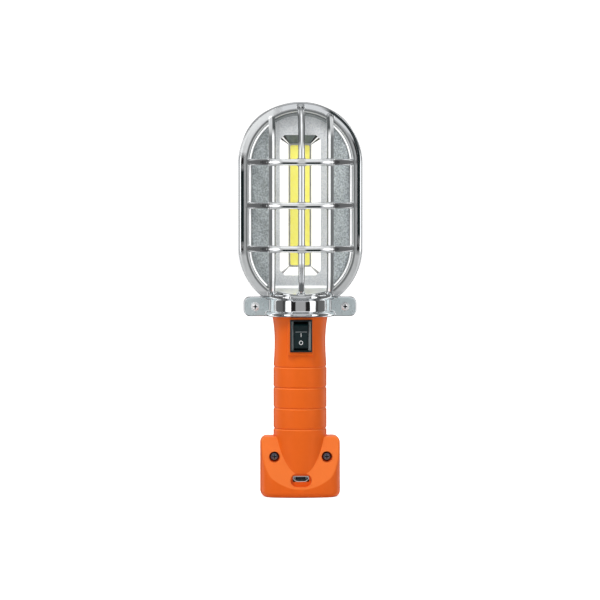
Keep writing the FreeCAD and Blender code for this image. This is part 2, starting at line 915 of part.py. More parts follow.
def reflector():
    """A dish with a flat centre panel, two tilted wings, a ridge and a funnel for the light."""
    thick = S.dish_thick
    edge_x = S.dish_ridge
    sheet_plate = prism(
        "dish_plate",
        "XY_Plane",
        S.head_high_z - S.dish_low_z + S.dish_ridge,
        (-edge_x, -S.wing_y),
        (-S.panel_half_width, -S.panel_y),
        (S.panel_half_width, -S.panel_y),
        (edge_x, -S.wing_y),
        (edge_x, thick - S.wing_y),
        (S.panel_half_width, thick - S.panel_y),
        (-S.panel_half_width, thick - S.panel_y),
        (-edge_x, thick - S.wing_y),
        (-edge_x, -S.wing_y),
    )
    bind_place(sheet_plate, (0, 0, S.dish_low_z))
    outline = stadium_slab("dish_outline", S.dish_ridge - PLAY, S.rim_depth, S.rim_depth)
    plate = common("dish_plate_cut", sheet_plate, outline)
    ridge = stadium_ring(
        "dish_ridge",
        S.dish_ridge,
        S.dish_ridge - S.dish_ridge_width,
        S.dish_ridge_y,
        S.dish_ridge_y - S.panel_y + thick,
    )
    flange = stadium_ring(
        "dish_flange",
        S.dish_flange,
        S.dish_ridge - S.dish_ridge_width / 2,
        S.rim_depth - S.rim_flange - PLAY,
        S.rim_depth - S.rim_flange - PLAY - S.dish_back_y,
    )
    sill = box(
        "dish_sill",
        (-S.panel_half_width, -S.panel_y - DISH_SILL, S.dish_low_z),
        (S.panel_half_width, -S.panel_y + thick, S.dish_low_z + DISH_SILL),
    )
    below = box("dish_below", (-FAR, -FAR, 0), (FAR, FAR, S.dish_low_z))
    bosses = [
        rod(f"dish_boss_{number}", PLATE_BOSS_RADIUS, (x, thick / 2 - S.panel_y, z),
            S.board_y + S.board_thick - thick / 2 + S.panel_y, "+Y")
        for number, (x, z) in enumerate(plate_screw_places(), start=1)
    ]
    holes = [
        rod(f"dish_boss_hole_{number}", PLATE_SCREW_RADIUS,
            (x, S.board_y + S.board_thick - PLATE_SCREW_BITE, z), FAR, "+Y")
        for number, (x, z) in enumerate(plate_screw_places(), start=1)
    ]
    whole = fuse(
        "dish_whole", plate, ridge, flange, sill, well("well_outer", thick, 0), *bosses
    )
    return cut("reflector", whole, below, well("well_inner", 0, -WELL_OVERCUT), *holes)


def plate_screw_places():
    """Where the four small screws hold the heat plate: (x, z) of each."""
    return [
        (sign * S.plate_screw_x, z)
        for _, sign in SIDES
        for z in (S.plate_screw_low_z, S.plate_screw_high_z)
    ]


def light_board():
    """The aluminium board that carries the strip of light-emitting chips."""
    margin = S.board_margin
    back = S.board_y + S.board_thick
    return box(
        "cob_board",
        (-(S.window_half_width + margin), S.board_y, S.window_low_z - 3 * margin),
        (S.window_half_width + margin, back, S.window_high_z + margin),
    )


def light_strip():
    """The yellow phosphor that covers the chips, seen through the funnel's window."""
    body = new_body("cob_phosphor")
    outline = new_sketch(body, "phosphor_outline", "XZ_Plane")
    eight_sides(outline, S.phosphor_half_width, S.window_low_z + PHOSPHOR_MARGIN,
                S.window_high_z - PHOSPHOR_MARGIN, S.window_corner)
    pad(body, "phosphor_pad", outline, S.phosphor_thick)
    bind_place(body, (0, S.board_y, 0))
    return body


def heat_plate():
    """The aluminium plate behind the board, screwed to the reflector's bosses."""
    front = S.board_y + S.board_thick
    plate = box(
        "heat_plate_blank",
        (-S.plate_half_width, front, S.window_low_z - S.board_margin),
        (S.plate_half_width, front + S.plate_thick, S.window_high_z + S.board_margin),
    )
    holes = [
        rod(f"heat_plate_hole_{number}", PLATE_SCREW_RADIUS + 2 * PLAY, (x, 0, z), FAR, "+Y")
        for number, (x, z) in enumerate(plate_screw_places(), start=1)
    ]
    return cut("heat_plate", plate, *holes)


# ---------------------------------------------------------------- fasteners

def cross_screw(name, x, z, face_y, end_y, head_radius, head_height, shank_radius):
    """A pan-head screw along Y, its head's face at face_y and its tip at end_y."""
    face_y, end_y = size(face_y), size(end_y)
    forwards = end_y.value > face_y.value
    seat_y = face_y + head_height if forwards else face_y - head_height
    head_low = face_y if forwards else seat_y
    shank_low = seat_y if forwards else end_y
    shank_length = end_y - seat_y if forwards else seat_y - end_y
    blank = rod(name + "_blank", head_radius, (x, head_low, z), head_height, "+Y")
    head = round_edges(name + "_head", blank, head_height * HEAD_DOME, lies_at("Y", face_y))
    shank = rod(name + "_shank", shank_radius, (x, shank_low, z), shank_length, "+Y")
    arm = size(head_radius) * CROSS_REACH
    slot = size(head_radius) * CROSS_HALF_WIDTH
    depth = size(head_height) * CROSS_DEPTH
    slot_low = face_y if forwards else face_y - depth
    cross = [
        box(
            f"{name}_slot_{number}",
            (x - half_x, slot_low, z - half_z),
            (x + half_x, slot_low + depth, z + half_z),
        )
        for number, (half_x, half_z) in enumerate(((arm, slot), (slot, arm)), start=1)
    ]
    return cut(name, fuse(name + "_whole", head, shank), *cross)


def plate_screws():
    """Four screws that hold the heat plate and the board to the reflector."""
    seat = S.board_y + S.board_thick + S.plate_thick
    tip = S.board_y + S.board_thick - PLATE_SCREW_BITE + PLAY
    return group(
        "plate_screws",
        *[
            cross_screw(f"plate_screw_{number}", x, z, seat + PLATE_HEAD_HEIGHT, tip,
                        PLATE_HEAD_RADIUS, PLATE_HEAD_HEIGHT, PLATE_SCREW_RADIUS)
            for number, (x, z) in enumerate(plate_screw_places(), start=1)
        ],
    )


def ear_screws():
    """Two machine screws that clamp the guard to the rear shell, one in each ear."""
    return group(
        "ear_screws",
        *[
            cross_screw(f"ear_screw_{side}", sign * S.ear_screw_x, S.ear_screw_z,
                        -S.ear_thick - EAR_HEAD_HEIGHT, S.ear_thick + EAR_SCREW_PAST_EAR,
                        EAR_HEAD_RADIUS, EAR_HEAD_HEIGHT, EAR_SCREW_RADIUS)
            for side, sign in SIDES
        ],
    )


def ear_nuts():
    """A hexagon nut behind each ear."""
    nuts = []
    for side, sign in SIDES:
        blank = doc.addObject("Part::Prism", f"ear_nut_{side}_blank")
        blank.Polygon = 6
        bind(blank, "Circumradius", NUT_CORNER_RADIUS)
        bind(blank, "Height", NUT_HEIGHT)
        blank.Placement = Placement(Vector(), TURNS["+Y"])
        bind_place(blank, (sign * S.ear_screw_x, S.ear_thick, S.ear_screw_z))
        bore = rod(f"ear_nut_{side}_bore", EAR_SCREW_RADIUS,
                   (sign * S.ear_screw_x, 0, S.ear_screw_z), FAR, "+Y")
        nuts.append(cut(f"ear_nut_{side}", blank, bore))
    return group("ear_nuts", *nuts)


def foot_screws():
    """Two black screws deep in the foot's slope that draw the handle's halves together."""
    return group(
        "foot_screws",
        *[
            cross_screw(f"foot_screw_{side}", sign * S.foot_screw_x, S.foot_screw_z,
                        -FOOT_SEAT_Y - FOOT_HEAD_HEIGHT, FOOT_SCREW_TIP_Y,
                        FOOT_HEAD_RADIUS, FOOT_HEAD_HEIGHT, FOOT_SCREW_RADIUS)
            for side, sign in SIDES
        ],
    )


# ---------------------------------------------------------------- handle

def slope_wedge(name, front):
    """What the inclined face takes off the foot, in front or behind."""
    sign = -1 if front else 1
    low, high = sign * S.foot_slope_low_y, sign * S.foot_slope_high_y
    return prism(
        name,
        "YZ_Plane",
        4 * S.foot_half_width,
        (low, 0),
        (sign * 2 * S.foot_slope_low_y, 0),
        (sign * 2 * S.foot_slope_low_y, 2 * S.foot_height),
        (high, 2 * S.foot_height),
        (high, S.foot_height),
        (low, 0),
        both=True,
    )


def foot():
    """The flared foot: bowed sides, round corners, and an inclined face front and back."""
    corner_x, corner_y = S.foot_corner_x, S.foot_corner_y
    bow_y = S.foot_half_depth - corner_y
    bow_x = S.foot_half_width - corner_x
    front_radius = (corner_x * corner_x + bow_y * bow_y) / (2 * bow_y)
    side_radius = (corner_y * corner_y + bow_x * bow_x) / (2 * bow_x)
    front_centre = front_radius - S.foot_half_depth
    side_centre = side_radius - S.foot_half_width
    body = new_body("foot_block")
    outline = new_sketch(body, "foot_outline", "XY_Plane")
    draw(
        outline,
        (-corner_x, -corner_y),
        ((0, front_centre), (corner_x, -corner_y), "left"),
        ((-side_centre, 0), (corner_x, corner_y), "left"),
        ((0, -front_centre), (-corner_x, corner_y), "left"),
        ((side_centre, 0), (-corner_x, -corner_y), "left"),
    )
    pad(body, "foot_pad", outline, S.foot_height)
    soften(body, "foot_corners", S.foot_corner_radius, stands_up)
    soften(body, "foot_top", S.foot_top_edge, lies_at("Z", S.foot_height))
    soften(body, "foot_bottom", S.foot_bottom_edge, lies_at("Z", 0))
    sloped = cut(
        "foot_sloped", body, slope_wedge("slope_front", True), slope_wedge("slope_rear", False)
    )
    return round_edges("foot", sloped, FOOT_SLOPE_ROUND, bounds_slope)


def bounds_slope(edge):
    """Picks the edges round the foot's two inclined faces."""
    fall = (S.foot_slope_low_y - S.foot_slope_high_y).value / S.foot_height.value
    low_y = S.foot_slope_low_y.value
    halfway = edge.valueAt((edge.FirstParameter + edge.LastParameter) / 2)
    points = [vertex.Point for vertex in edge.Vertexes] + [halfway]
    return all(abs(abs(point.y) - low_y + fall * point.z) < CLOSE for point in points)


def grip():
    """The round grip with its waist and rings, and the spigot that the collar holds."""
    shoulder, waist, top = S.grip_shoulder_z, S.waist_z, S.grip_top_z
    low_sag = S.grip_radius - S.waist_radius
    low_rise = waist - shoulder
    low_bend = (low_rise * low_rise + low_sag * low_sag) / (2 * low_sag)
    high_sag = S.grip_top_radius - S.waist_radius
    high_rise = top - waist
    high_bend = (high_rise * high_rise + high_sag * high_sag) / (2 * high_sag)
    latch_low = S.latch_z - S.latch_half_height
    latch_high = S.latch_z + S.latch_half_height
    latch_radius = S.spigot_radius - S.latch_depth
    column = spun(
        "grip_column",
        (0, GRIP_BASE_Z),
        (S.grip_radius, GRIP_BASE_Z),
        (S.grip_radius, shoulder),
        ((S.waist_radius + low_bend, waist), (S.waist_radius, waist), "right"),
        ((S.waist_radius + high_bend, waist), (S.grip_top_radius, top), "right"),
        (S.spigot_radius, top),
        (S.spigot_radius, latch_low),
        (latch_radius, latch_low),
        (latch_radius, latch_high),
        (S.spigot_radius, latch_high),
        (S.spigot_radius, S.spigot_top_z),
        (0, S.spigot_top_z),
        (0, GRIP_BASE_Z),
    )
    rings = []
    for number in range(RING_COUNT):
        ring = doc.addObject("Part::Torus", f"grip_ring_{number + 1}")
        bind(ring, "Radius1", S.grip_radius + S.groove_round - S.groove_depth)
        bind(ring, "Radius2", S.groove_round)
        bind_place(ring, (0, 0, S.groove_first_z + number * S.groove_pitch))
        rings.append(ring)
    return cut("grip", column, *rings)


def switch_pad():
    """The flat-faced frame that the switch sits in."""
    body = new_body("switch_pad")
    outline = new_sketch(body, "switch_pad_outline", "XZ_Plane")
    half, low, high = S.pad_half_width, S.pad_low_z, S.grip_top_z - PLAY
    draw(outline, (-half, low), (half, low), (half, high), (-half, high), (-half, low))
    pad(body, "switch_pad_pad", outline, S.pad_y)
    bevel(
        body,
        "switch_pad_bevel",
        PAD_BEVEL,
        lambda edge: lies_at("Y", -S.pad_y)(edge) and edge.BoundBox.ZMin < float(high) - PAD_BEVEL,
    )
    return body


def handle_hollow():
    """Everything that the closed handle is empty of: cell, wires, board, switch, magnet."""
    bore_top = S.spigot_top_z + PLAY
    board_low = S.charger_z - PLAY
    board_room = S.charger_z + S.charger_thick + 4 * PLAY
    ledge = BOARD_LEDGE
    spaces = [
        rod("hollow_cell", S.grip_bore, (0, 0, CELL_BAY_LOW_Z), bore_top - CELL_BAY_LOW_Z),
        box(
            "hollow_wires",
            (-S.channel_half_width, WIRE_CHANNEL_FRONT_Y, board_room),
            (S.channel_half_width, S.channel_y, WIRE_CHANNEL_TOP_Z),
        ),
        box(
            "hollow_board",
            (-CHARGER_HALF_WIDTH - PLAY, -CHARGER_FRONT_Y - PLAY, board_low),
            (CHARGER_HALF_WIDTH + PLAY, CHARGER_BACK_Y + PLAY, board_room),
        ),
        box(
            "hollow_board_parts",
            (ledge - CHARGER_HALF_WIDTH, ledge - CHARGER_FRONT_Y, S.floor_z),
            (CHARGER_HALF_WIDTH - ledge, CHARGER_BACK_Y - ledge / 2, PARTS_BAY_TOP_Z),
        ),
        box(
            "hollow_socket",
            (-SOCKET_HALF_WIDTH - 2 * PLAY, -FAR, S.socket_z - SOCKET_HALF_HEIGHT - 2 * PLAY),
            (SOCKET_HALF_WIDTH + 2 * PLAY, 0, S.socket_z + SOCKET_HALF_HEIGHT + 2 * PLAY),
        ),
        box(
            "hollow_switch",
            (-S.case_half_width - PLAY, -FAR, S.switch_z - S.case_half_height - PLAY),
            (S.case_half_width + PLAY, 0, S.switch_z + S.case_half_height + PLAY),
        ),
        rod("hollow_cup", S.cup_radius + PLAY, (0, 0, -PLAY), S.cup_height + 2 * PLAY),
        port_recess(),
    ]
    for side, sign in SIDES:
        x, z = sign * S.foot_screw_x, S.foot_screw_z
        spaces.append(rod(f"hollow_recess_{side}", S.foot_screw_recess, (x, -FAR, z),
                          FAR - FOOT_SEAT_Y, "+Y"))
        spaces.append(rod(f"hollow_screw_{side}", FOOT_SCREW_RADIUS + 2 * PLAY, (x, -FAR, z),
                          FAR, "+Y"))
        spaces.append(rod(f"hollow_pilot_{side}", FOOT_SCREW_RADIUS, (x, 0, z),
                          FOOT_SCREW_TIP_Y + SPIGOT_ROOM, "+Y"))
    return spaces


def port_recess():
    """The finger-wide oval hollow around the charging port."""
    body = new_body("port_recess")
    outline = new_sketch(body, "port_recess_outline", "XZ_Plane")
    straight = PORT_RECESS_HALF_WIDTH - PORT_RECESS_RADIUS
    middle = S.socket_z - PORT_RECESS_DROP
    low, high = middle - PORT_RECESS_RADIUS, middle + PORT_RECESS_RADIUS
    draw(
        outline,
        (-straight, low),
        (straight, low),
        ((straight, middle), (straight, high), "left"),
        (-straight, high),
        ((-straight, middle), (-straight, low), "left"),
    )
    pad(body, "port_recess_pad", outline, FAR)
    bind_place(body, (0, 4 * PLAY - S.socket_mouth_y, 0))
    return body


def handle_halves():
    """The handle, moulded as a front and a rear half that meet in the plane Y = 0."""
    solid = fuse("handle_solid", foot(), grip(), switch_pad())
    hollow = cut("handle_whole", solid, *handle_hollow())
    front = common("handle_front", hollow, half_space("handle_front_side", True))
    rear = common("handle_rear", hollow, half_space("handle_rear_side", False))
    return front, rear


# ---------------------------------------------------------------- switch

def switch_housing():
    """The switch's case and bezel, hollow for the rocker and the blade."""
    z, half, tall = S.switch_z, S.case_half_width, S.case_half_height
    back = S.case_depth - S.pad_y
    case = box("case_block", (-half, -S.pad_y, z - tall), (half, back, z + tall))
    bezel = new_body("bezel_plate")
    outline = new_sketch(bezel, "bezel_outline", "XZ_Plane")
    wide, high = S.bezel_half_width, S.bezel_half_height
    draw(outline, (-wide, -high), (wide, -high), (wide, high), (-wide, high), (-wide, -high))
    pad(bezel, "bezel_pad", outline, S.bezel_thick)
    soften(bezel, "bezel_soft", BEZEL_ROUND, lies_at("Y", -S.bezel_thick))
    bind_place(bezel, (0, -S.pad_y, z))
    inside_x, inside_z = S.rocker_half_width + ROCKER_GAP, tall - S.case_wall / 3
    cavity = box(
        "case_cavity",
        (-inside_x, -FAR, z - inside_z),
        (inside_x, back - CASE_FLOOR, z + inside_z),
    )
    flare = well_flare("bezel_flare")
    axle = rod("case_axle_hole", S.pivot_radius + AXLE_FIT, (-half, -S.pivot_y, z), 2 * half,
               "+X")
    slot_half_width = TERMINAL_HALF_WIDTH + 2 * PLAY
    slot_half_height = TERMINAL_HALF_THICK + PLAY
    slots = [
        box(
            f"case_slot_{number}",
            (-slot_half_width, back - 2 * CASE_FLOOR, middle - slot_half_height),
            (slot_half_width, back + CASE_FLOOR, middle + slot_half_height),
        )
        for number, middle in enumerate((z, z - TERMINAL_OFFSET), start=1)
    ]
    return cut("switch_housing", fuse("case_whole", case, bezel), cavity, flare, axle, *slots)


def well_flare(name):
    """The bezel's inward slope around the rocker, a frustum that the bezel is cut with."""
    body = new_body(name)
    near = new_sketch(body, name + "_near", "XZ_Plane")
    far = new_sketch(body, name + "_far", "XZ_Plane")
    near.AttachmentOffset = Placement(Vector(0, 0, float(S.bezel_thick) + CLOSE), Rotation())
    far.AttachmentOffset = Placement(Vector(0, 0, -2 * ROCKER_GAP), Rotation())
    sizes = (
        (near, S.bezel_half_width - BEZEL_FRAME, S.bezel_half_height - BEZEL_FRAME),
        (far, S.rocker_half_width + ROCKER_GAP, S.case_half_height - S.case_wall / 3),
    )
    for sketch, wide, high in sizes:
        draw(sketch, (-wide, -high), (wide, -high), (wide, high), (-wide, high), (-wide, -high))
    loft = body.newObject("PartDesign::AdditiveLoft", name + "_loft")
    loft.Profile = near
    loft.Sections = [far]
    loft.Ruled = True
    bind_place(body, (0, -S.pad_y, S.switch_z))
    return body


def rocker_group():
    """The rocker, its plunger and its spring, tilted together to the off position."""
    turn = Rotation(Vector(1, 0, 0), float(S.rocker_tilt))
    rocker = switch_rocker()
    plunger = fuse(
        "switch_plunger",
        rod("plunger_stem", 0.55, (0, -1.4, 0), 5.6, "+Y"),
        rod("plunger_tip", 0.9, (0, 4.2, 0), PLUNGER_TIP - 4.2, "+Y"),
    )
    spring = plunger_spring()
    for piece in (rocker, plunger, spring):
        piece.Placement = Placement(Vector(), turn)
        bind_place(piece, (0, -S.pivot_y, S.switch_z))
    return rocker, plunger, spring


def switch_rocker():
    """The rocker about its own axle: a bowed body, a creased face and two axle stubs."""
    radius = S.rocker_radius
    body = new_body("rocker_body")
    outline = new_sketch(body, "rocker_outline", "YZ_Plane")
    face = 2.6
    edge_z = root(radius * radius - face * face)
    skirt = 1.6
    skirt_z = root(radius * radius - skirt * skirt)
    draw(
        outline,
        (-face, edge_z),
        (-1.9, S.rocker_crease),
        (-face, -edge_z),
        ((0, 0), (skirt, -skirt_z), "left"),
        (2.4, -3.0),
        (2.4, 3.0),
        (skirt, skirt_z),
        ((0, 0), (-face, edge_z), "left"),
    )
    pad(body, "rocker_pad", outline, 2 * S.rocker_half_width, both=True)
    axle = rod("rocker_axle", S.pivot_radius, (-S.case_half_width + 0.1, 0, 0),
               2 * S.case_half_width - 0.2, "+X")
    well_hole = rod("rocker_spring_well", 1.1, (0, -1.0, 0), 5, "+Y")
    stem_hole = rod("rocker_stem_well", 0.62, (0, -1.5, 0), 5, "+Y")
    return cut("switch_rocker", fuse("rocker_whole", body, axle), well_hole, stem_hole)


def plunger_spring():
    """The small coil spring around the plunger's stem."""
    radius, wire_radius, height, turns = 0.84, 0.14, 3.9, 6
    path = Part.makeHelix(height / turns, height, radius)
    ring = Part.Wire(Part.makeCircle(wire_radius, Vector(radius, 0, 0), Vector(0, 1, 0.12)))
    coil = Part.Wire(path.Edges).makePipeShell([ring], True, True)
    along_stem = Placement(Vector(0, 0.1, 0), TURNS["+Y"])
    made = doc.addObject("Part::Feature", "plunger_spring")
    made.Shape = coil.transformed(along_stem.toMatrix(), True)
    return made


def contact_blade():
    """The rocking brass blade that closes the circuit, shown in the open position."""
    body = new_body("contact_blade")
    outline = new_sketch(body, "blade_outline", "YZ_Plane")
    reach, thick, lift = 4.6, 0.2, 0.25
    draw(
        outline,
        (-thick, 0),
        (-thick - lift, -reach),
        (thick - lift, -reach),
        (thick, 0),
        (thick - lift, reach),
        (-thick - lift, reach),
        (-thick, 0),
    )
    pad(body, "blade_pad", outline, 3.0, both=True)
    body.Placement = Placement(Vector(), Rotation(Vector(1, 0, 0), -float(S.blade_tilt)))
    bind_place(body, (0, -S.blade_y, S.switch_z))
    return body


def switch_terminals():
    """Two brass tabs: the middle one carries the blade, the lower one meets its end."""
    back = S.case_depth - S.pad_y
    z = S.switch_z
    seat = 0.32 - S.blade_y
    rest_y, rest_thick, rest_half_height = -3.5, 0.6, 0.7
    half, thin, tail = TERMINAL_HALF_WIDTH, TERMINAL_HALF_THICK, back + TERMINAL_TAIL
    low = z - TERMINAL_OFFSET
    middle = box("terminal_middle", (-half, seat, z - thin), (half, tail, z + thin))
    lower = fuse(
        "terminal_lower",
        box("terminal_tab", (-half, rest_y + rest_thick, low - thin), (half, tail, low + thin)),
        box("terminal_rest", (-half, rest_y, low - rest_half_height),
            (half, rest_y + rest_thick, low + rest_half_height)),
    )
    return group("switch_terminals", middle, lower)


# ---------------------------------------------------------------- cell, charger, magnet

def battery_cell():
    """A round lithium cell with the crimp groove below its raised cap."""
    low, high, radius = S.cell_low_z, S.cell_high_z, S.cell_radius
    edge = 0.6
    return spun(
        "battery_cell",
        (0, low),
        (radius - edge, low),
        (radius, low + edge),
        (radius, high - 3.6),
        (radius - 0.5, high - 3.0),
        (radius, high - 2.4),
        (radius, high - edge),
        (radius - edge, high),
        (3.2, high),
        (2.9, high + 0.8),
        (0, high + 0.8),
        (0, low),
    )


def cell_tabs():
    """The nickel strips welded to the cell's two ends."""
    top_z = S.cell_high_z + 0.8
    top = box("cell_tab_top", (-2.5, -3.0, top_z), (2.5, 7.6, top_z + 0.25))
    bottom = box("cell_tab_bottom", (-2.5, -3.0, S.cell_low_z - 0.25),
                 (2.5, 7.0, S.cell_low_z))
    return top, bottom


def charge_board():
    """The small circuit board in the foot, held in the slots of both handle halves."""
    low = S.charger_z
    blank = box(
        "charge_board_blank",
        (-CHARGER_HALF_WIDTH, -CHARGER_FRONT_Y, low),
        (CHARGER_HALF_WIDTH, CHARGER_BACK_Y, low + S.charger_thick),
    )
    pads = [
        rod(f"charge_board_pad_{number}", 0.4, (x, 7.0, low - 1), 4)
        for number, x in enumerate((-5.5, -3.5, 3.5, 5.5), start=1)
    ]
    return cut("charge_board", blank, *pads)


def charge_parts():
    """The charging chip, its coil, two capacitors and the charge lamp on the board."""
    z = S.charger_z + S.charger_thick
    chips = (
        ("charge_chip", -6.2, -1.0, 3.0, 3.0, 1.2),
        ("boost_chip", -2.0, 3.4, 2.2, 2.2, 1.0),
        ("capacitor_left", 3.0, 0.4, 1.2, 2.0, 0.9),
        ("capacitor_right", 6.0, 3.6, 1.2, 2.0, 0.9),
        ("charge_lamp", 6.2, -3.6, 1.2, 1.6, 0.7),
    )
    blocks = [
        box(name, (x - wide / 2, y - deep / 2, z), (x + wide / 2, y + deep / 2, z + tall))
        for name, x, y, wide, deep, tall in chips
    ]
    coil = rod("charge_coil", 2.0, (-6.0, 4.4, z), 1.9)
    return group("charge_parts", *blocks, coil)


def socket_outline(sketch, inset):
    """The port's shape: a wide upper side, upright shoulders and a narrow lower side."""
    half, tall = SOCKET_HALF_WIDTH - inset, SOCKET_HALF_HEIGHT - inset
    draw(
        sketch,
        (-half + 1.5, -tall),
        (half - 1.5, -tall),
        (half, 0.1),
        (half - 0.35, tall),
        (-half + 0.35, tall),
        (-half, 0.1),
        (-half + 1.5, -tall),
    )


def usb_socket():
    """The charging port's sheet-metal shell."""
    body = new_body("usb_socket")
    outline = new_sketch(body, "socket_outside", "XZ_Plane")
    socket_outline(outline, 0)
    pad(body, "socket_pad", outline, SOCKET_DEPTH)
    inside = new_sketch(body, "socket_inside", "XZ_Plane")
    inside.AttachmentOffset = Placement(Vector(0, 0, 0.3), Rotation())
    socket_outline(inside, 0.3)
    pocket(body, "socket_pocket", inside, SOCKET_DEPTH, backwards=True)
    bind_place(body, (0, SOCKET_DEPTH - S.socket_mouth_y, S.socket_z))
    return body


def usb_tongue():
    """The plastic tongue inside the port that carries the contacts."""
    back = SOCKET_DEPTH - 0.3 - S.socket_mouth_y
    block = box("tongue_block", (-2.2, back - 1.2, S.socket_z - 0.7),
                (2.2, back, S.socket_z + 0.9))
    blade = box("tongue_blade", (-1.7, 0.7 - S.socket_mouth_y, S.socket_z + 0.1),
                (1.7, back, S.socket_z + 0.6))
    return fuse("usb_tongue", block, blade)


def magnet_and_cup():
    """The pot magnet, flush with the foot's underside, that lets the lamp stand on steel."""
    blank = rod("magnet_blank", S.magnet_radius, (0, 0, 0), S.magnet_height)
    magnet = round_edges("magnet", blank, 0.3, lies_at("Z", S.magnet_height))
    cup = cut(
        "magnet_cup",
        rod("cup_outside", S.cup_radius, (0, 0, 0), S.cup_height),
        rod("cup_inside", S.magnet_radius + PLAY, (0, 0, -1), S.magnet_height + 1),
    )
    return magnet, cup


# ---------------------------------------------------------------- hanging hook

def swivel_rivet():
    """The rivet that holds the hook's plate to the rear shell and lets it turn."""
    z, back = S.swivel_z, S.rear_depth
    outer = back + S.swivel_thick + 2 * GLIDE
    clinch_y = back - S.rear_wall - RIVET_CLINCH
    edge = RIVET_HEAD_HEIGHT / 2
    head = rod("rivet_head_blank", RIVET_HEAD_RADIUS, (0, outer, z), RIVET_HEAD_HEIGHT, "+Y")
    return fuse(
        "swivel_rivet",
        rod("rivet_shank", RIVET_RADIUS, (0, clinch_y, z), outer + edge - clinch_y, "+Y"),
        round_edges("rivet_head", head, edge, lies_at("Y", outer + RIVET_HEAD_HEIGHT)),
        rod("rivet_clinch", RIVET_HEAD_RADIUS, (0, clinch_y, z), RIVET_CLINCH, "+Y"),
    )


def hook_plate():
    """The disc that swivels on the rivet, with two lugs for the hook's pin."""
    z, front = S.swivel_z, S.rear_depth + GLIDE
    pin_z = z + S.hook_pivot_rise
    lug = S.hook_barrel_radius
    blank = rod("swivel_disc_blank", S.swivel_radius, (0, front, z), S.swivel_thick, "+Y")
    disc = round_edges("swivel_disc", blank, 0.6, lies_at("Y", front + S.swivel_thick))
    lugs = []
    for side, sign in SIDES:
        near, far = LUG_INNER_X, LUG_OUTER_X
        low_x = near if sign > 0 else -far
        foot_low = (low_x, front + 1, pin_z - lug)
        foot_high = (low_x + far - near, S.hook_pivot_y, pin_z + lug)
        lugs.append(rod(f"lug_round_{side}", lug, (low_x, S.hook_pivot_y, pin_z),
                        far - near, "+X"))
        lugs.append(box(f"lug_foot_{side}", foot_low, foot_high))
    rivet = rod("swivel_rivet_hole", RIVET_RADIUS + GLIDE, (0, 0, z), FAR, "+Y")
    head = rod("swivel_head_room", RIVET_HEAD_RADIUS + ROCKER_GAP,
               (0, front + S.swivel_thick, z), FAR, "+Y")
    pin = rod("swivel_pin_hole", S.hook_pin_radius,
              (-FAR / 2, S.hook_pivot_y, pin_z), FAR, "+X")
    return cut("hook_plate", fuse("swivel_whole", disc, *lugs), rivet, head, pin)


def hook_pin():
    """The steel pin on which the hook folds."""
    return rod("hook_pin", S.hook_pin_radius,
               (-LUG_OUTER_X, S.hook_pivot_y, S.swivel_z + S.hook_pivot_rise),
               2 * size(LUG_OUTER_X), "+X")


def hook():
    """The flat J-shaped hook, folded down against the head."""
    band, bow_z, tip_z = S.hook_band, S.hook_bow_z, S.hook_tip_z
    half = band / 2
    centre_x = S.hook_bow_radius
    outer, inner = centre_x + half, centre_x - half
    pin_z = S.swivel_z + S.hook_pivot_rise
    tip_x = 2 * centre_x
    body = new_body("hook_band")
    outline = new_sketch(body, "hook_outline", "XZ_Plane")
    draw(
        outline,
        (-half, pin_z),
        (-half, bow_z),
        ((centre_x, bow_z), (centre_x + outer, bow_z), "left"),
        (centre_x + outer, tip_z),
        ((tip_x, tip_z), (tip_x - half, tip_z), "left"),
        (tip_x - half, bow_z),
        ((centre_x, bow_z), (half, bow_z), "right"),
        (half, pin_z),
        (-half, pin_z),
    )
    pad(body, "hook_pad", outline, S.hook_thick, both=True)
    face = S.hook_thick / 2
    soften(
        body,
        "hook_soft",
        0.7,
        lambda edge: (lies_at("Y", face)(edge) or lies_at("Y", -face)(edge))
        and edge.BoundBox.ZMax < float(pin_z),
    )
    bind_place(body, (0, S.hook_pivot_y, 0))
    barrel = rod("hook_barrel", S.hook_barrel_radius,
                 (0.2 - LUG_INNER_X, S.hook_pivot_y, pin_z), 2 * size(LUG_INNER_X) - 0.4, "+X")
    bore = rod("hook_bore", S.hook_pin_radius + GLIDE,
               (-FAR / 2, S.hook_pivot_y, pin_z), FAR, "+X")
    return cut("hook", fuse("hook_whole", body, barrel), bore)


# ---------------------------------------------------------------- wires

def wire(name, points):
    """A wire held all the way: straight runs joined by tangent arcs."""
    points = [Vector(*(float(c) for c in point)) for point in points]
    edges = []
    start = points[0]
    for before, corner, after in zip(points, points[1:], points[2:]):
        arriving = (corner - before).normalize()
        leaving = (after - corner).normalize()
        turn = math.acos(max(-1.0, min(1.0, arriving.dot(leaving))))
        short = min((corner - before).Length, (after - corner).Length)
        tangent = min(0.45 * short, WIRE_BEND * math.tan(turn / 2))
        radius = tangent / math.tan(turn / 2)
        entry, leave = corner - arriving * tangent, corner + leaving * tangent
        inward = (leaving - arriving).normalize()
        centre = corner + inward * (radius / math.cos(turn / 2))
        middle = centre - inward * radius
        edges.append(Part.LineSegment(start, entry).toShape())
        edges.append(Part.Arc(entry, middle, leave).toShape())
        start = leave
    edges.append(Part.LineSegment(start, points[-1]).toShape())
    first = (points[1] - points[0]).normalize()
    ring = Part.Wire(Part.makeCircle(WIRE_RADIUS, points[0], first))
    made = doc.addObject("Part::Feature", name)
    made.Shape = Part.Wire(edges).makePipeShell([ring], True, False)
    made.Placement = Placement()
    return made


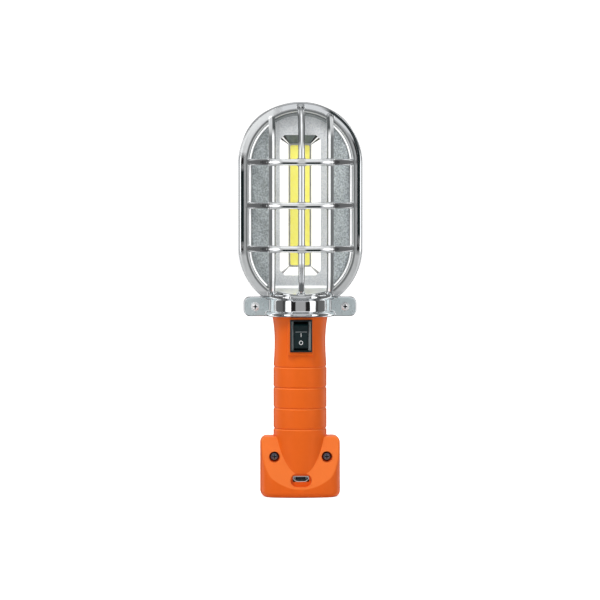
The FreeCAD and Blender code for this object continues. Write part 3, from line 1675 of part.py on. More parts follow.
def wires():
    """Five thin wires: cell to charger, charger to switch, switch to light and back."""
    board_top = S.charger_z + S.charger_thick
    back_y = 10.3
    tab_z = S.cell_high_z + 1.05 + WIRE_RADIUS
    switch_back = S.case_depth - S.pad_y + TERMINAL_TAIL
    board_back = S.board_y + S.board_thick
    head_z = S.window_low_z - 2.6
    low_z = S.switch_z - TERMINAL_OFFSET
    plus = wire("wire_cell_plus", [
        (-2.3, 8.2, board_top), (-2.3, 8.2, 10.2), (-2.3, back_y, 13.4),
        (-2.3, back_y, 62.0), (-2.3, 9.6, tab_z), (-2.3, 6.0, tab_z),
    ])
    minus = wire("wire_cell_minus", [
        (1.2, 4.6, S.cell_low_z - 0.25), (1.2, 4.6, 11.6), (1.2, 6.4, 9.8),
        (1.2, 6.4, board_top),
    ])
    feed = wire("wire_switch_feed", [
        (2.3, 8.2, board_top), (2.3, 8.2, 10.2), (2.3, back_y, 13.4),
        (2.3, back_y, 66.5), (1.0, 6.5, low_z), (1.0, switch_back, low_z),
    ])
    lamp_plus = wire("wire_lamp_plus", [
        (0, switch_back, S.switch_z), (0, 5.4, S.switch_z), (0, 5.4, 82.0),
        (3.6, 4.6, 94.0), (3.6, 4.6, head_z - 3), (3.6, 4.0, head_z), (3.6, board_back, head_z),
    ])
    lamp_minus = wire("wire_lamp_minus", [
        (0, 8.2, board_top), (0, 8.2, 10.2), (0, back_y, 13.4), (0, back_y, 64.0),
        (-3.0, 7.4, 69.5), (-3.6, 5.2, 94.0), (-3.6, 5.2, head_z - 3), (-3.6, 4.0, head_z),
        (-3.6, board_back, head_z),
    ])
    return plus, minus, feed, lamp_plus, lamp_minus


# ---------------------------------------------------------------- assembly

def build():
    """Every sub-part of the lamp, each a solid or a set of like solids."""
    fill_sheet()
    front, rear = handle_halves()
    rocker, plunger, spring = rocker_group()
    tab_top, tab_bottom = cell_tabs()
    magnet, cup = magnet_and_cup()
    return [
        front_guard(), rear_shell(), reflector(), light_board(), light_strip(), heat_plate(),
        plate_screws(), ear_screws(), ear_nuts(), front, rear, foot_screws(),
        switch_housing(), rocker, plunger, spring, contact_blade(), switch_terminals(),
        battery_cell(), tab_top, tab_bottom, charge_board(), charge_parts(),
        usb_socket(), usb_tongue(), magnet, cup,
        hook_plate(), hook(), hook_pin(), swivel_rivet(), *wires(),
    ]


def check(parts):
    """Stops before anything is written if a feature failed or a solid is not sound."""
    doc.recompute()
    for obj in doc.Objects:
        if "Invalid" in obj.State or "Error" in obj.State:
            raise RuntimeError(f"{obj.Label} did not compute: {obj.State}")
    for part in parts:
        if part.Shape.isNull() or not part.Shape.isValid() or not part.Shape.Solids:
            raise RuntimeError(f"{part.Label} is not a sound solid")


def write(parts):
    """One file for each sub-part, named after it."""
    os.makedirs("parts", exist_ok=True)
    for part in parts:
        part.Shape.exportStep(f"parts/{part.Label}.step")


PARTS = build()
check(PARTS)
write(PARTS)
for made in PARTS:
    print(f"{made.Label}: {len(made.Shape.Solids)} solids, {made.Shape.Volume:.1f} mm3")
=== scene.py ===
"""Looks of the cordless inspection lamp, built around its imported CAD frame.

Metres throughout, in the frame's own axes: +Z up, the light faces -Y, the origin is the
middle of the foot's underside. Lengths written with mm() are millimetres.
"""
import json
import math
from functools import reduce

import bmesh
import bpy
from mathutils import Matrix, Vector

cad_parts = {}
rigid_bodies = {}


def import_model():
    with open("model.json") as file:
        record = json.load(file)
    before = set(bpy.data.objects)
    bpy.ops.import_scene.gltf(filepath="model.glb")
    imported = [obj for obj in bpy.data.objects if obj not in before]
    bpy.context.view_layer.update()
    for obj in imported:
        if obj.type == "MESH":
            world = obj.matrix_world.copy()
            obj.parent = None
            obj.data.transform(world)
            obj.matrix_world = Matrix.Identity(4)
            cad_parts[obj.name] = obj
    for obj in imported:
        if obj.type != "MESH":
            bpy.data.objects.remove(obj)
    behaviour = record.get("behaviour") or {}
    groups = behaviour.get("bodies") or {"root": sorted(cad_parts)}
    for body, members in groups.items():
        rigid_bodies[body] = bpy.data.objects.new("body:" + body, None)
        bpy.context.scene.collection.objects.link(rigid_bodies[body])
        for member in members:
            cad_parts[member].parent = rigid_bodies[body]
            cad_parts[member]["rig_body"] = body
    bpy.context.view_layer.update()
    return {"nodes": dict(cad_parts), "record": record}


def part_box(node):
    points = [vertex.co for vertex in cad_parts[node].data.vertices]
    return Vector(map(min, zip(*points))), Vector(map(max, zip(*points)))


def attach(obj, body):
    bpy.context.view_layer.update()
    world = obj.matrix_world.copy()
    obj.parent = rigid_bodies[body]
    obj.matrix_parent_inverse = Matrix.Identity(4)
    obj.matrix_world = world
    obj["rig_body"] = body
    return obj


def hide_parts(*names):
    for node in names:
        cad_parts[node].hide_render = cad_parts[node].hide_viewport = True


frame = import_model()
NODES = frame["nodes"]


def mm(length):
    """Millimetres as metres."""
    return length / 1000


def scaled(colour, factor):
    """A colour with its channels multiplied."""
    return tuple(channel * factor for channel in colour)


# ---------------------------------------------------------------- places read from the frame

def size_of(node):
    """A node's lowest corner, highest corner and middle."""
    low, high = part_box(node)
    return low, high, (low + high) / 2


# the head's outline is round about a centre at each of these heights, and straight between
REFLECTOR_LOW, REFLECTOR_HIGH, _ = size_of("reflector")
ARC_HIGH_Z = REFLECTOR_HIGH.z - REFLECTOR_HIGH.x
ARC_LOW_Z = mm(115.7)
OPENINGS = {
    opening["name"]: opening["box_m"] for opening in frame["record"]["physics"]["openings"]
}
# the cage's level ribs lie between its windows
LOW_ROW_Z, MIDDLE_ROW_Z = (
    (OPENINGS[f"cage_window_left_{n}"][1][2] + OPENINGS[f"cage_window_left_{n + 1}"][0][2]) / 2
    for n in (1, 2)
)
ROW_PITCH = MIDDLE_ROW_Z - LOW_ROW_Z
TOP_ROW_Z = MIDDLE_ROW_Z + ROW_PITCH


# ---------------------------------------------------------------- node helpers

class Nodes:
    """The node tree of a material or of the world, and short ways to add to it."""

    def __init__(self, tree):
        self.tree = tree

    def add(self, kind, **values):
        made = self.tree.nodes.new(kind)
        for key, value in values.items():
            setattr(made, key, value)
        return made

    def link(self, source, target):
        self.tree.links.new(source, target)

    def feed(self, socket, value):
        """Gives an input a plain number, a colour or another node's output."""
        if isinstance(value, (int, float)):
            socket.default_value = value
        elif isinstance(value, tuple):
            socket.default_value = (*value, 1)
        else:
            self.link(value, socket)

    def split(self, vector):
        """A vector's x, y and z."""
        made = self.add("ShaderNodeSeparateXYZ")
        self.link(vector, made.inputs[0])
        return made.outputs

    def maths(self, operation, one, two=None):
        """A number worked out from outputs or plain numbers."""
        made = self.add("ShaderNodeMath", operation=operation)
        self.feed(made.inputs[0], one)
        if two is not None:
            self.feed(made.inputs[1], two)
        return made.outputs[0]

    def less(self, one, two):
        """one minus two."""
        return self.maths("SUBTRACT", one, two)

    def ratio(self, one, two):
        return self.maths("DIVIDE", one, two)

    def size(self, one):
        """A number without its sign."""
        return self.maths("ABSOLUTE", one)

    def larger(self, one, two):
        return self.maths("MAXIMUM", one, two)

    def smaller(self, one, two):
        return self.maths("MINIMUM", one, two)

    def total(self, *terms):
        return reduce(lambda one, two: self.maths("ADD", one, two), terms)

    def product(self, *factors):
        return reduce(lambda one, two: self.maths("MULTIPLY", one, two), factors)

    def spread(self, source, low, high, from_low=0.25, from_high=0.75, kind="LINEAR"):
        """Runs from low to high while the source runs from from_low to from_high."""
        made = self.add("ShaderNodeMapRange", interpolation_type=kind)
        made.inputs["From Min"].default_value = from_low
        made.inputs["From Max"].default_value = from_high
        made.inputs["To Min"].default_value = low
        made.inputs["To Max"].default_value = high
        self.link(source, made.inputs["Value"])
        return made.outputs["Result"]

    def after(self, source, start, end):
        """0 before start, 1 after end."""
        return self.spread(source, 0, 1, start, end)

    def before(self, source, start, end):
        """1 before start, 0 after end."""
        return self.spread(source, 1, 0, start, end)

    def within(self, source, low, high, edge):
        """1 from low to high, fading to 0 over edge on both sides."""
        return self.product(
            self.after(source, low - edge, low), self.before(source, high, high + edge)
        )

    def mix(self, amount, one, two):
        """A colour between two, each a plain colour or a node's output."""
        made = self.add("ShaderNodeMix", data_type="RGBA")
        self.link(amount, made.inputs["Factor"])
        self.feed(made.inputs["A"], one)
        self.feed(made.inputs["B"], two)
        return made.outputs["Result"]

    def bands(self, source, stops, hue=(1, 1, 1)):
        """Shades by a 0 to 1 source: stops are pairs of place and brightness."""
        made = self.add("ShaderNodeValToRGB")
        elements = made.color_ramp.elements
        elements.remove(elements[-1])
        for index, (place, level) in enumerate(stops):
            stop = elements[0] if index == 0 else elements.new(place)
            stop.position = place
            stop.color = (*scaled(hue, level), 1)
        self.link(source, made.inputs[0])
        return made.outputs["Color"]


class Surface(Nodes):
    """A material under construction, in its piece's own coordinates."""

    def __init__(self, name, colour, roughness, metallic=0.0):
        self.material = bpy.data.materials.new(name)
        self.material.use_nodes = True
        super().__init__(self.material.node_tree)
        self.shader = self.tree.nodes["Principled BSDF"]
        self.place = self.add("ShaderNodeTexCoord").outputs["Object"]
        self.bump = None
        self.set("Base Color", (*colour, 1))
        self.set("Roughness", roughness)
        self.set("Metallic", metallic)

    def set(self, socket, value):
        """Gives the shader a plain value."""
        self.shader.inputs[socket].default_value = value

    def drive(self, socket, source):
        """Gives the shader a value that changes from place to place."""
        self.link(source, self.shader.inputs[socket])

    def noise(self, grain, detail=3.0, roughness=0.55, stretch=(1, 1, 1), seed=0.0):
        """Noise whose features are about grain across; the output runs from 0 to 1."""
        moved = self.add("ShaderNodeMapping")
        moved.inputs["Scale"].default_value = stretch
        moved.inputs["Location"].default_value = (seed, seed * 0.7, seed * 1.3)
        self.link(self.place, moved.inputs["Vector"])
        made = self.add("ShaderNodeTexNoise")
        made.inputs["Scale"].default_value = 1 / grain
        made.inputs["Detail"].default_value = detail
        made.inputs["Roughness"].default_value = roughness
        self.link(moved.outputs["Vector"], made.inputs["Vector"])
        return made.outputs["Fac"]

    def cells(self, grain):
        """Rounded cells about grain across, 0 at their middles."""
        made = self.add("ShaderNodeTexVoronoi")
        made.inputs["Scale"].default_value = 1 / grain
        self.link(self.place, made.inputs["Vector"])
        return made.outputs["Distance"]

    def tint(self, amount, one, two):
        self.drive("Base Color", self.mix(amount, one, two))

    def vary_roughness(self, source, low, high):
        self.drive("Roughness", self.spread(source, low, high))

    def relief(self, source, depth, strength=1.0):
        """Adds fine relief of a real depth on top of any before it."""
        made = self.add("ShaderNodeBump")
        made.inputs["Distance"].default_value = depth
        made.inputs["Strength"].default_value = strength
        self.link(source, made.inputs["Height"])
        if self.bump is not None:
            self.link(self.bump, made.inputs["Normal"])
        self.bump = made.outputs["Normal"]
        self.drive("Normal", self.bump)

    def glow(self, colour, strength):
        """Gives off a plain colour's light."""
        self.set("Emission Color", (*colour, 1))
        self.set("Emission Strength", strength)


def plated(name, colour, roughness, ripple, ripple_grain=mm(6)):
    """Bright plating over a casting or a pressing: a slow ripple and faint handling marks."""
    made = Surface(name, colour, roughness, 1.0)
    marks = made.noise(mm(0.9), 4, stretch=(1, 1, 0.35))
    made.vary_roughness(marks, roughness * 0.7, roughness * 1.6)
    made.tint(made.noise(mm(4), 2, seed=3), scaled(colour, 0.93), colour)
    made.relief(made.noise(ripple_grain, 1), ripple)
    made.relief(marks, mm(0.002), 0.4)
    return made


def moulded(name, colour, roughness, grain=mm(0.28), depth=mm(0.012)):
    """Satin moulded plastic: a fine spark-eroded grain, slight shade changes, spots worn by
    handling.
    """
    made = Surface(name, colour, roughness)
    made.vary_roughness(made.noise(mm(7), 3, seed=5), roughness * 0.86, roughness * 1.12)
    made.tint(made.noise(mm(9), 3, seed=9), scaled(colour, 0.94), scaled(colour, 1.05))
    made.relief(made.noise(grain, 4, 0.6), depth, 0.55)
    return made


def sheet_metal(name, colour, roughness, along=(1, 1, 0.06)):
    """Plain sheet or turned metal with brushing along one way."""
    made = Surface(name, colour, roughness, 1.0)
    lines = made.noise(mm(0.25), 3, stretch=along)
    made.vary_roughness(lines, roughness * 0.7, roughness * 1.35)
    made.tint(made.noise(mm(3), 2), scaled(colour, 0.88), colour)
    made.relief(lines, mm(0.006), 0.5)
    return made


# ---------------------------------------------------------------- materials

CHROME = (0.90, 0.915, 0.925)
ORANGE = (0.80, 0.126, 0.0058)
# ORANGE_LIT is painted light, the paler orange of faces that turn up
ORANGE_LIT = (0.90, 0.205, 0.040)
BLACK_PLASTIC = (0.004, 0.015, 0.017)
WHITE = (1, 1, 1)


def shell_chrome():
    """The back's pressed shell, smoother than the cast cage."""
    return plated("shell_chrome", CHROME, 0.08, mm(0.010), mm(11))


# half the width of the cage's ribs, and how far out the side ribs stand
RIB_HALF = mm(1.6)
SIDE_RIB_X = mm(13.4)
# painted reflections across a rib, in stripes of light and dark: pairs of place, from 0 to 1,
# and brightness
SIDE_REFLECTIONS = (
    (0.0, 0.12), (0.17, 0.12), (0.23, 0.95), (0.47, 0.95), (0.54, 0.12), (0.94, 0.12),
    (1.0, 0.3),
)
SIDE_TOP_REFLECTIONS = (
    (0.0, 0.3), (0.08, 0.06), (0.42, 0.06), (0.52, 0.5), (0.92, 0.5), (1.0, 0.3),
)
MIDDLE_REFLECTIONS = (
    (0.0, 0.30), (0.16, 0.32), (0.26, 0.88), (0.62, 0.80), (0.72, 0.14), (0.92, 0.14),
    (1.0, 0.3),
)
MIDDLE_TOP_REFLECTIONS = (
    (0.0, 0.85), (0.16, 0.75), (0.30, 0.12), (0.55, 0.25), (0.66, 0.03), (0.92, 0.03),
    (1.0, 0.3),
)
ROW_REFLECTIONS = (
    (0.0, 0.20), (0.05, 0.20), (0.10, 0.85), (0.19, 0.85), (0.24, 0.01), (0.46, 0.01),
    (0.52, 0.50), (0.60, 0.72), (0.68, 0.33), (0.76, 0.72), (0.88, 0.78), (0.95, 0.22),
)
ROW_END_REFLECTIONS = (
    (0.0, 0.20), (0.05, 0.20), (0.11, 0.60), (0.26, 0.25), (0.36, 0.35), (0.46, 0.48),
    (0.60, 0.55), (0.68, 0.26), (0.78, 0.58), (0.90, 0.55), (0.96, 0.22),
)
BEVEL_REFLECTIONS = ((0.0, 0.50), (0.30, 0.50), (0.45, 0.14), (0.85, 0.14), (1.0, 0.30))
REFLECTION_DARK, REFLECTION_BRIGHT = (0.006, 0.012, 0.013), (0.94, 0.955, 0.965)
# the painted reflections glow by themselves and mirror little, so that they stay put
REFLECTION_GLOW, REFLECTION_METAL = 0.4, 0.3

# where the painted reflections start or end: each pair is the range over which they come or go
RIB_EDGE = mm(0.1)
SIDE_START_Z, SIDE_END_Z = (mm(94.8), mm(96)), (mm(176), mm(177.5))
SIDE_TOP_Z, MIDDLE_TOP_Z = (mm(167), mm(171)), (mm(161), mm(165))
MIDDLE_LOW_Z, MIDDLE_HIGH_Z, MIDDLE_FADE = mm(109), mm(177), mm(3)
UPRIGHT_FRONT_Y, ROW_FRONT_Y = (mm(-9.8), mm(-8.9)), (mm(-12.5), mm(-10.5))
ROW_REACH, ROW_FADE, ROW_EDGE = mm(9), mm(0.5), mm(0.3)
ROW_END_X, ROW_OUTER_X, ROW_CROSSING_X = (
    (mm(13.6), mm(15.4)), (mm(8.4), mm(9.8)), (mm(1.2), mm(2.4))
)

# the painted white glints on the level ribs: middle, half length, half height and fading
GLINT_X, GLINT_LONG, GLINT_TALL, GLINT_EDGE = mm(12.4), mm(2.9), mm(0.62), (0.7, 1.0)

# the rim's painted reflections, by the distance from the spine between the head's arc centres:
# dark lines, plain grey arcs and the bevel's stripes
RIM_FRONT_Y, RIM_EDGE = (mm(-6.5), mm(-5.5)), mm(0.2)
LEFT_DARK, LEFT_DARK_X = (mm(26.3), mm(27.55)), (mm(-24), mm(-22))
LEFT_DARK_Z, LEFT_DARK_FADE = (mm(119), mm(151)), mm(4)
RIGHT_DARK, RIGHT_DARK_X, RIGHT_DARK_Z = (
    (mm(26.5), mm(27.5)), (mm(9), mm(14)), (mm(116), mm(122))
)
RIGHT_SHIFT, RIGHT_SHIFT_Z = mm(0.8), (mm(154), mm(168))
FLAT, FLAT_EDGE = (mm(25.6), mm(28.45)), mm(0.15)
LOW_FLAT_Z, LOW_FLAT_FADE, LOW_FLAT_LEVEL = (mm(96), mm(112)), mm(3), 0.42
HIGH_FLAT_X, HIGH_FLAT_Z, HIGH_FLAT_LEVEL = (mm(-13), mm(-8)), (mm(157), mm(160)), 0.56
BEVEL, BEVEL_EDGE = (mm(24.05), mm(25.45)), mm(0.12)
BEVEL_Y, BEVEL_Y_EDGE = (mm(-8.15), mm(-4.5)), mm(0.15)


def arc_distance(made, x, z):
    """The distance from the straight spine between the head's two arc centres."""
    climb = made.less(z, made.smaller(made.larger(z, ARC_LOW_Z), ARC_HIGH_Z))
    return made.maths("SQRT", made.total(made.product(x, x), made.product(climb, climb)))


def upright_reflections(made, across, z, clear):
    """The painted reflections of the side ribs and the middle rib: masks, each with its
    brightness.
    """
    inner, outer = SIDE_RIB_X - RIB_HALF, SIDE_RIB_X + RIB_HALF
    side_mask = made.product(
        made.within(across, inner, outer, RIB_EDGE),
        made.after(z, *SIDE_START_Z), made.before(z, *SIDE_END_Z), clear,
    )
    place = made.after(across, inner, outer)
    side = made.mix(
        made.after(z, *SIDE_TOP_Z), made.bands(place, SIDE_REFLECTIONS),
        made.bands(place, SIDE_TOP_REFLECTIONS),
    )
    middle_mask = made.product(
        made.before(across, RIB_HALF, RIB_HALF + RIB_EDGE),
        made.within(z, MIDDLE_LOW_Z, MIDDLE_HIGH_Z, MIDDLE_FADE), clear,
    )
    place = made.after(across, 0, RIB_HALF)
    middle = made.mix(
        made.after(z, *MIDDLE_TOP_Z), made.bands(place, MIDDLE_REFLECTIONS),
        made.bands(place, MIDDLE_TOP_REFLECTIONS),
    )
    return [(side_mask, side), (middle_mask, middle)]


def row_reflections(made, across, rise, zone):
    """The painted reflections of the level ribs, as mask and brightness: calmer over the middle
    rib and near the ends.
    """
    mask = made.product(made.before(across, *ROW_END_X), zone)
    height = made.after(rise, -RIB_HALF, RIB_HALF)
    calm = made.larger(made.after(across, *ROW_OUTER_X), made.before(across, *ROW_CROSSING_X))
    level = made.mix(calm, made.bands(height, ROW_REFLECTIONS), made.bands(height, ROW_END_REFLECTIONS))
    return [(mask, level)]


def glints(made, across, rise):
    """Painted white glints: ovals on the level ribs, just inside the side ribs."""
    long = made.ratio(made.less(across, GLINT_X), GLINT_LONG)
    tall = made.ratio(rise, GLINT_TALL)
    reach = made.total(made.product(long, long), made.product(tall, tall))
    return made.before(reach, *GLINT_EDGE)


def rim_reflections(made, x, y, z):
    """Painted reflections on the rim: black lines on its shoulders, plain grey arcs, and stripes
    on the inner bevel.
    """
    radius = arc_distance(made, x, z)
    front = made.before(y, *RIM_FRONT_Y)
    left = made.product(
        made.within(radius, *LEFT_DARK, RIM_EDGE), made.before(x, *LEFT_DARK_X),
        made.within(z, *LEFT_DARK_Z, LEFT_DARK_FADE),
    )
    drawn_in = made.less(radius, made.spread(z, 0, RIGHT_SHIFT, *RIGHT_SHIFT_Z))
    right = made.product(
        made.within(drawn_in, *RIGHT_DARK, RIM_EDGE), made.after(x, *RIGHT_DARK_X),
        made.after(z, *RIGHT_DARK_Z),
    )
    flat = made.product(made.within(radius, *FLAT, FLAT_EDGE), front)
    low_flat = made.product(flat, made.within(z, *LOW_FLAT_Z, LOW_FLAT_FADE))
    high_flat = made.product(flat, made.before(x, *HIGH_FLAT_X), made.after(z, *HIGH_FLAT_Z))
    bevel = made.product(
        made.within(radius, *BEVEL, BEVEL_EDGE), made.within(y, *BEVEL_Y, BEVEL_Y_EDGE)
    )
    return [
        (made.product(made.larger(left, right), front), 0.0),
        (low_flat, LOW_FLAT_LEVEL),
        (high_flat, HIGH_FLAT_LEVEL),
        (bevel, made.bands(made.after(radius, *BEVEL), BEVEL_REFLECTIONS)),
    ]


def cage_chrome():
    """Bright plating with painted reflections of its neighbours, striped along the ribs and the
    rim.
    """
    made = plated("cage_chrome", CHROME, 0.045, mm(0.05))
    x, y, z = made.split(made.place)
    across = made.size(x)
    # height above the nearest level rib's middle
    lifted = made.less(z, LOW_ROW_Z - ROW_PITCH / 2)
    rise = made.less(made.maths("FLOORED_MODULO", lifted, ROW_PITCH), ROW_PITCH / 2)
    among_rows = made.within(z, LOW_ROW_Z - ROW_REACH, TOP_ROW_Z + ROW_REACH, ROW_FADE)
    near_row = made.product(made.within(rise, -RIB_HALF, RIB_HALF, ROW_EDGE), among_rows)
    row_front = made.before(y, *ROW_FRONT_Y)
    clear = made.product(made.before(y, *UPRIGHT_FRONT_Y), made.less(1, near_row))

    painted = (
        upright_reflections(made, across, z, clear)
        + row_reflections(made, across, rise, made.product(row_front, near_row))
        + rim_reflections(made, x, y, z)
    )
    glint = made.product(glints(made, across, rise), row_front, among_rows)
    level = made.total(*(made.product(mask, bright) for mask, bright in painted))
    painted_reflections = made.mix(made.larger(level, glint), REFLECTION_DARK, REFLECTION_BRIGHT)
    mask = made.smaller(made.larger(made.total(*(mask for mask, _ in painted)), glint), 1)
    plain = made.shader.inputs["Base Color"].links[0].from_socket
    made.drive("Base Color", made.mix(mask, plain, painted_reflections))
    made.drive("Metallic", made.spread(mask, 1, REFLECTION_METAL, 0, 1))
    # the painted reflections glow, and are less metallic than the plain plating
    made.drive("Emission Color", painted_reflections)
    made.drive("Emission Strength", made.product(mask, REFLECTION_GLOW))
    return made


def grained(name, dark, light, lift, metallic):
    """The reflector's frosted, metallised face: rounded speckles, with painted light that makes
    it paler to the right by lift.
    """
    made = Surface(name, light, 0.44, metallic)
    broken = made.noise(mm(0.75), 2)
    made.relief(made.cells(mm(0.95)), mm(0.16), 0.6)
    made.relief(broken, mm(0.10), 0.6)
    # painted light: the colour grows paler towards the right
    side = made.after(made.split(made.place)[0], mm(-16), mm(19))
    grain = made.after(broken, 0.38, 0.62)
    plain = made.mix(grain, dark, light)
    pale = made.mix(grain, scaled(dark, lift), scaled(light, lift))
    made.tint(side, plain, pale)
    return made


def grained_foil():
    """The wings beside the panel."""
    return grained("grained_foil", (0.37, 0.41, 0.425), (0.66, 0.71, 0.73), 1.32, 0.45)


def panel_foil():
    """The middle panel: the same frosted foil as the wings, with painted light that makes it
    brighter.
    """
    return grained("panel_foil", (0.80, 0.83, 0.85), (0.95, 0.97, 0.985), 1.07, 0.35)


def painted_glow_foil():
    """The funnel's polished walls, and the dish's ridge and sill: near white, with a painted
    glow.
    """
    made = Surface("painted_glow_foil", (0.97, 0.975, 0.98), 0.22, 0.25)
    made.vary_roughness(made.noise(mm(2)), 0.18, 0.26)
    made.relief(made.noise(mm(3)), mm(0.01))
    # a painted glow, which keeps them white
    made.glow(WHITE, 0.5)
    return made


def shaded_foil():
    """The funnel's upper wall, painted dark as shade: it looks down at the dark of the studio.
    """
    made = Surface("shaded_foil", (0.15, 0.18, 0.185), 0.4, 0.15)
    streak = made.noise(mm(1.2), 3, stretch=(1, 1, 0.3))
    made.tint(made.spread(streak, 0, 1), (0.115, 0.145, 0.155), (0.18, 0.215, 0.225))
    made.relief(streak, mm(0.02), 0.5)
    return made


def satin_foil():
    """The dish's flange between the ridge and the guard's rim."""
    made = Surface("satin_foil", (0.36, 0.385, 0.39), 0.38, 0.5)
    made.tint(made.noise(mm(1.1), 2), (0.30, 0.325, 0.33), (0.42, 0.445, 0.45))
    made.relief(made.noise(mm(1.0), 2), mm(0.03), 0.5)
    return made


# the funnel's corner facets fan out from the light window's corners to the panel's edge
WINDOW_X, WELL_X = mm(4.9), mm(8.7)
UPPER_WINDOW_Z, UPPER_WELL_Z = mm(163.6), mm(167.1)
LOWER_WINDOW_Z, LOWER_WELL_Z = mm(107.0), mm(103.7)
# half the fan's width at its foot, and how much it gains per length
FAN_HALF, FAN_GAIN = mm(0.42), 0.26
# painted reflections across the corner facets: pairs of place, from 0 to 1, and brightness
UPPER_CORNER_REFLECTIONS = (
    (0.0, 0.02), (0.32, 0.02), (0.38, 0.9), (0.56, 0.9), (0.62, 0.02), (0.80, 0.02),
    (0.88, 0.95), (1.0, 0.95),
)
LOWER_CORNER_REFLECTIONS = (
    (0.0, 0.95), (0.30, 0.95), (0.38, 0.05), (0.46, 0.35), (0.54, 0.40), (0.62, 0.05),
    (0.70, 0.95), (1.0, 0.95),
)


def corner_foil(name, start_z, end_z, stops):
    """A polished corner facet of the funnel, with painted reflections that run along the fan of
    its two folds and glow.
    """
    made = Surface(name, (0.9, 0.9, 0.9), 0.2, 0.1)
    x, _, z = made.split(made.place)
    run, rise = WELL_X - WINDOW_X, end_z - start_z
    length = math.hypot(run, rise)
    out, climb = made.less(made.size(x), WINDOW_X), made.less(z, start_z)
    along = made.total(made.product(out, run / length), made.product(climb, rise / length))
    aside = made.less(made.product(out, rise / length), made.product(climb, run / length))
    if rise < 0:
        aside = made.product(aside, -1)
    half_width = made.total(made.product(along, FAN_GAIN), FAN_HALF)
    place = made.total(made.product(made.ratio(aside, half_width), 0.5), 0.5)
    painted_reflections = made.bands(place, stops)
    made.drive("Base Color", painted_reflections)
    made.drive("Emission Color", painted_reflections)
    made.set("Emission Strength", 0.45)
    made.vary_roughness(made.noise(mm(1)), 0.16, 0.26)
    return made


def upper_corner_foil():
    """The funnel's two upper corners."""
    return corner_foil("upper_corner_foil", UPPER_WINDOW_Z, UPPER_WELL_Z, UPPER_CORNER_REFLECTIONS)


def lower_corner_foil():
    """The funnel's two lower corners."""
    return corner_foil("lower_corner_foil", LOWER_WINDOW_Z, LOWER_WELL_Z, LOWER_CORNER_REFLECTIONS)


def orange_plastic():
    """The handle's satin orange, with painted light: paler on what faces up."""
    made = moulded("orange_plastic", ORANGE, 0.42)
    made.set("Specular IOR Level", 0.22)
    facing = made.add("ShaderNodeNewGeometry").outputs["Normal"]
    painted_top_light = made.after(made.split(facing)[2], 0.08, 0.42)
    tone = made.noise(mm(9), 3, seed=9)
    plain = made.mix(tone, scaled(ORANGE, 0.95), scaled(ORANGE, 1.04))
    lit = made.mix(tone, scaled(ORANGE_LIT, 0.97), scaled(ORANGE_LIT, 1.03))
    made.tint(painted_top_light, plain, lit)
    return made


def black_plastic():
    """The switch's glossy moulding."""
    made = moulded("black_plastic", BLACK_PLASTIC, 0.34, mm(0.22), mm(0.008))
    made.set("Specular IOR Level", 0.32)
    return made


def phosphor():
    """The yellow coating over the light's chips, with the faint rows of chips beneath."""
    made = Surface("phosphor", (0.95, 0.86, 0.12), 0.5)
    rows = made.after(made.cells(mm(1.5)), 0.1, 0.8)
    made.tint(rows, (0.90, 0.85, 0.20), (0.88, 0.80, 0.14))
    made.relief(made.noise(mm(0.5)), mm(0.02))
    # a painted glow: the coating gives off a little light of its own
    made.glow((0.93, 0.87, 0.20), 0.22)
    return made


def painted_crease_highlight():
    """A painted highlight: a pale grey line along a black moulding's crease."""
    made = Surface("painted_crease_highlight", (0.28, 0.31, 0.32), 0.4)
    made.vary_roughness(made.noise(mm(0.3)), 0.35, 0.5)
    made.tint(made.noise(mm(0.4)), (0.24, 0.27, 0.28), (0.32, 0.35, 0.36))
    return made


def slope_painted_highlight():
    """The bezel's glossy inner slopes beside the rocker, their lighter grey a painted highlight.
    """
    made = Surface("slope_painted_highlight", (0.22, 0.25, 0.255), 0.22)
    made.set("Specular IOR Level", 1.0)
    made.vary_roughness(made.noise(mm(0.6)), 0.18, 0.3)
    made.tint(made.noise(mm(2.0), stretch=(1, 1, 0.3)), (0.19, 0.22, 0.225), (0.27, 0.30, 0.305))
    return made


def ink():
    """The rocker's printed marks."""
    made = Surface("white_ink", (0.86, 0.87, 0.88), 0.5)
    made.vary_roughness(made.noise(mm(0.3)), 0.42, 0.6)
    made.tint(made.noise(mm(0.4)), (0.80, 0.81, 0.82), (0.90, 0.91, 0.92))
    return made


def circuit_board():
    """Green lacquer with paler traces beneath it."""
    made = Surface("circuit_board", (0.02, 0.16, 0.07), 0.35)
    traces = made.cells(mm(1.1))
    made.tint(made.after(traces, 0.25, 0.35), (0.02, 0.11, 0.05), (0.03, 0.2, 0.09))
    made.relief(traces, mm(0.02))
    return made


def screw_bright():
    """The ear screws' plating, paler than steel."""
    made = plated("screw_bright", (0.96, 0.965, 0.97), 0.24, mm(0.01), mm(1.2))
    made.set("Metallic", 0.4)
    return made


def painted_recess_shade():
    """Painted shade: dark steel in a screw's cross and round its edge."""
    made = Surface("painted_recess_shade", (0.025, 0.028, 0.03), 0.5, 0.3)
    mottle = made.noise(mm(0.25))
    made.vary_roughness(mottle, 0.42, 0.6)
    made.tint(mottle, (0.018, 0.020, 0.022), (0.035, 0.038, 0.040))
    return made


def screw_black():
    """The foot screws' blue-black finish."""
    made = plated("screw_black", (0.20, 0.38, 0.52), 0.30, mm(0.02), mm(0.8))
    made.set("Metallic", 0.3)
    return made


def ear_chrome():
    """The ears' ground faces, duller than the polished collar."""
    made = plated("ear_chrome", (0.82, 0.92, 0.94), 0.30, mm(0.015))
    made.set("Metallic", 0.85)
    return made


def throat_chrome():
    """The tumbled lid between the light's opening and the collar."""
    made = Surface("throat_chrome", (0.86, 0.875, 0.88), 0.42, 0.45)
    made.tint(made.noise(mm(1.6), 3), (0.78, 0.80, 0.81), (0.92, 0.93, 0.935))
    made.relief(made.noise(mm(1.0), 2), mm(0.02), 0.5)
    return made


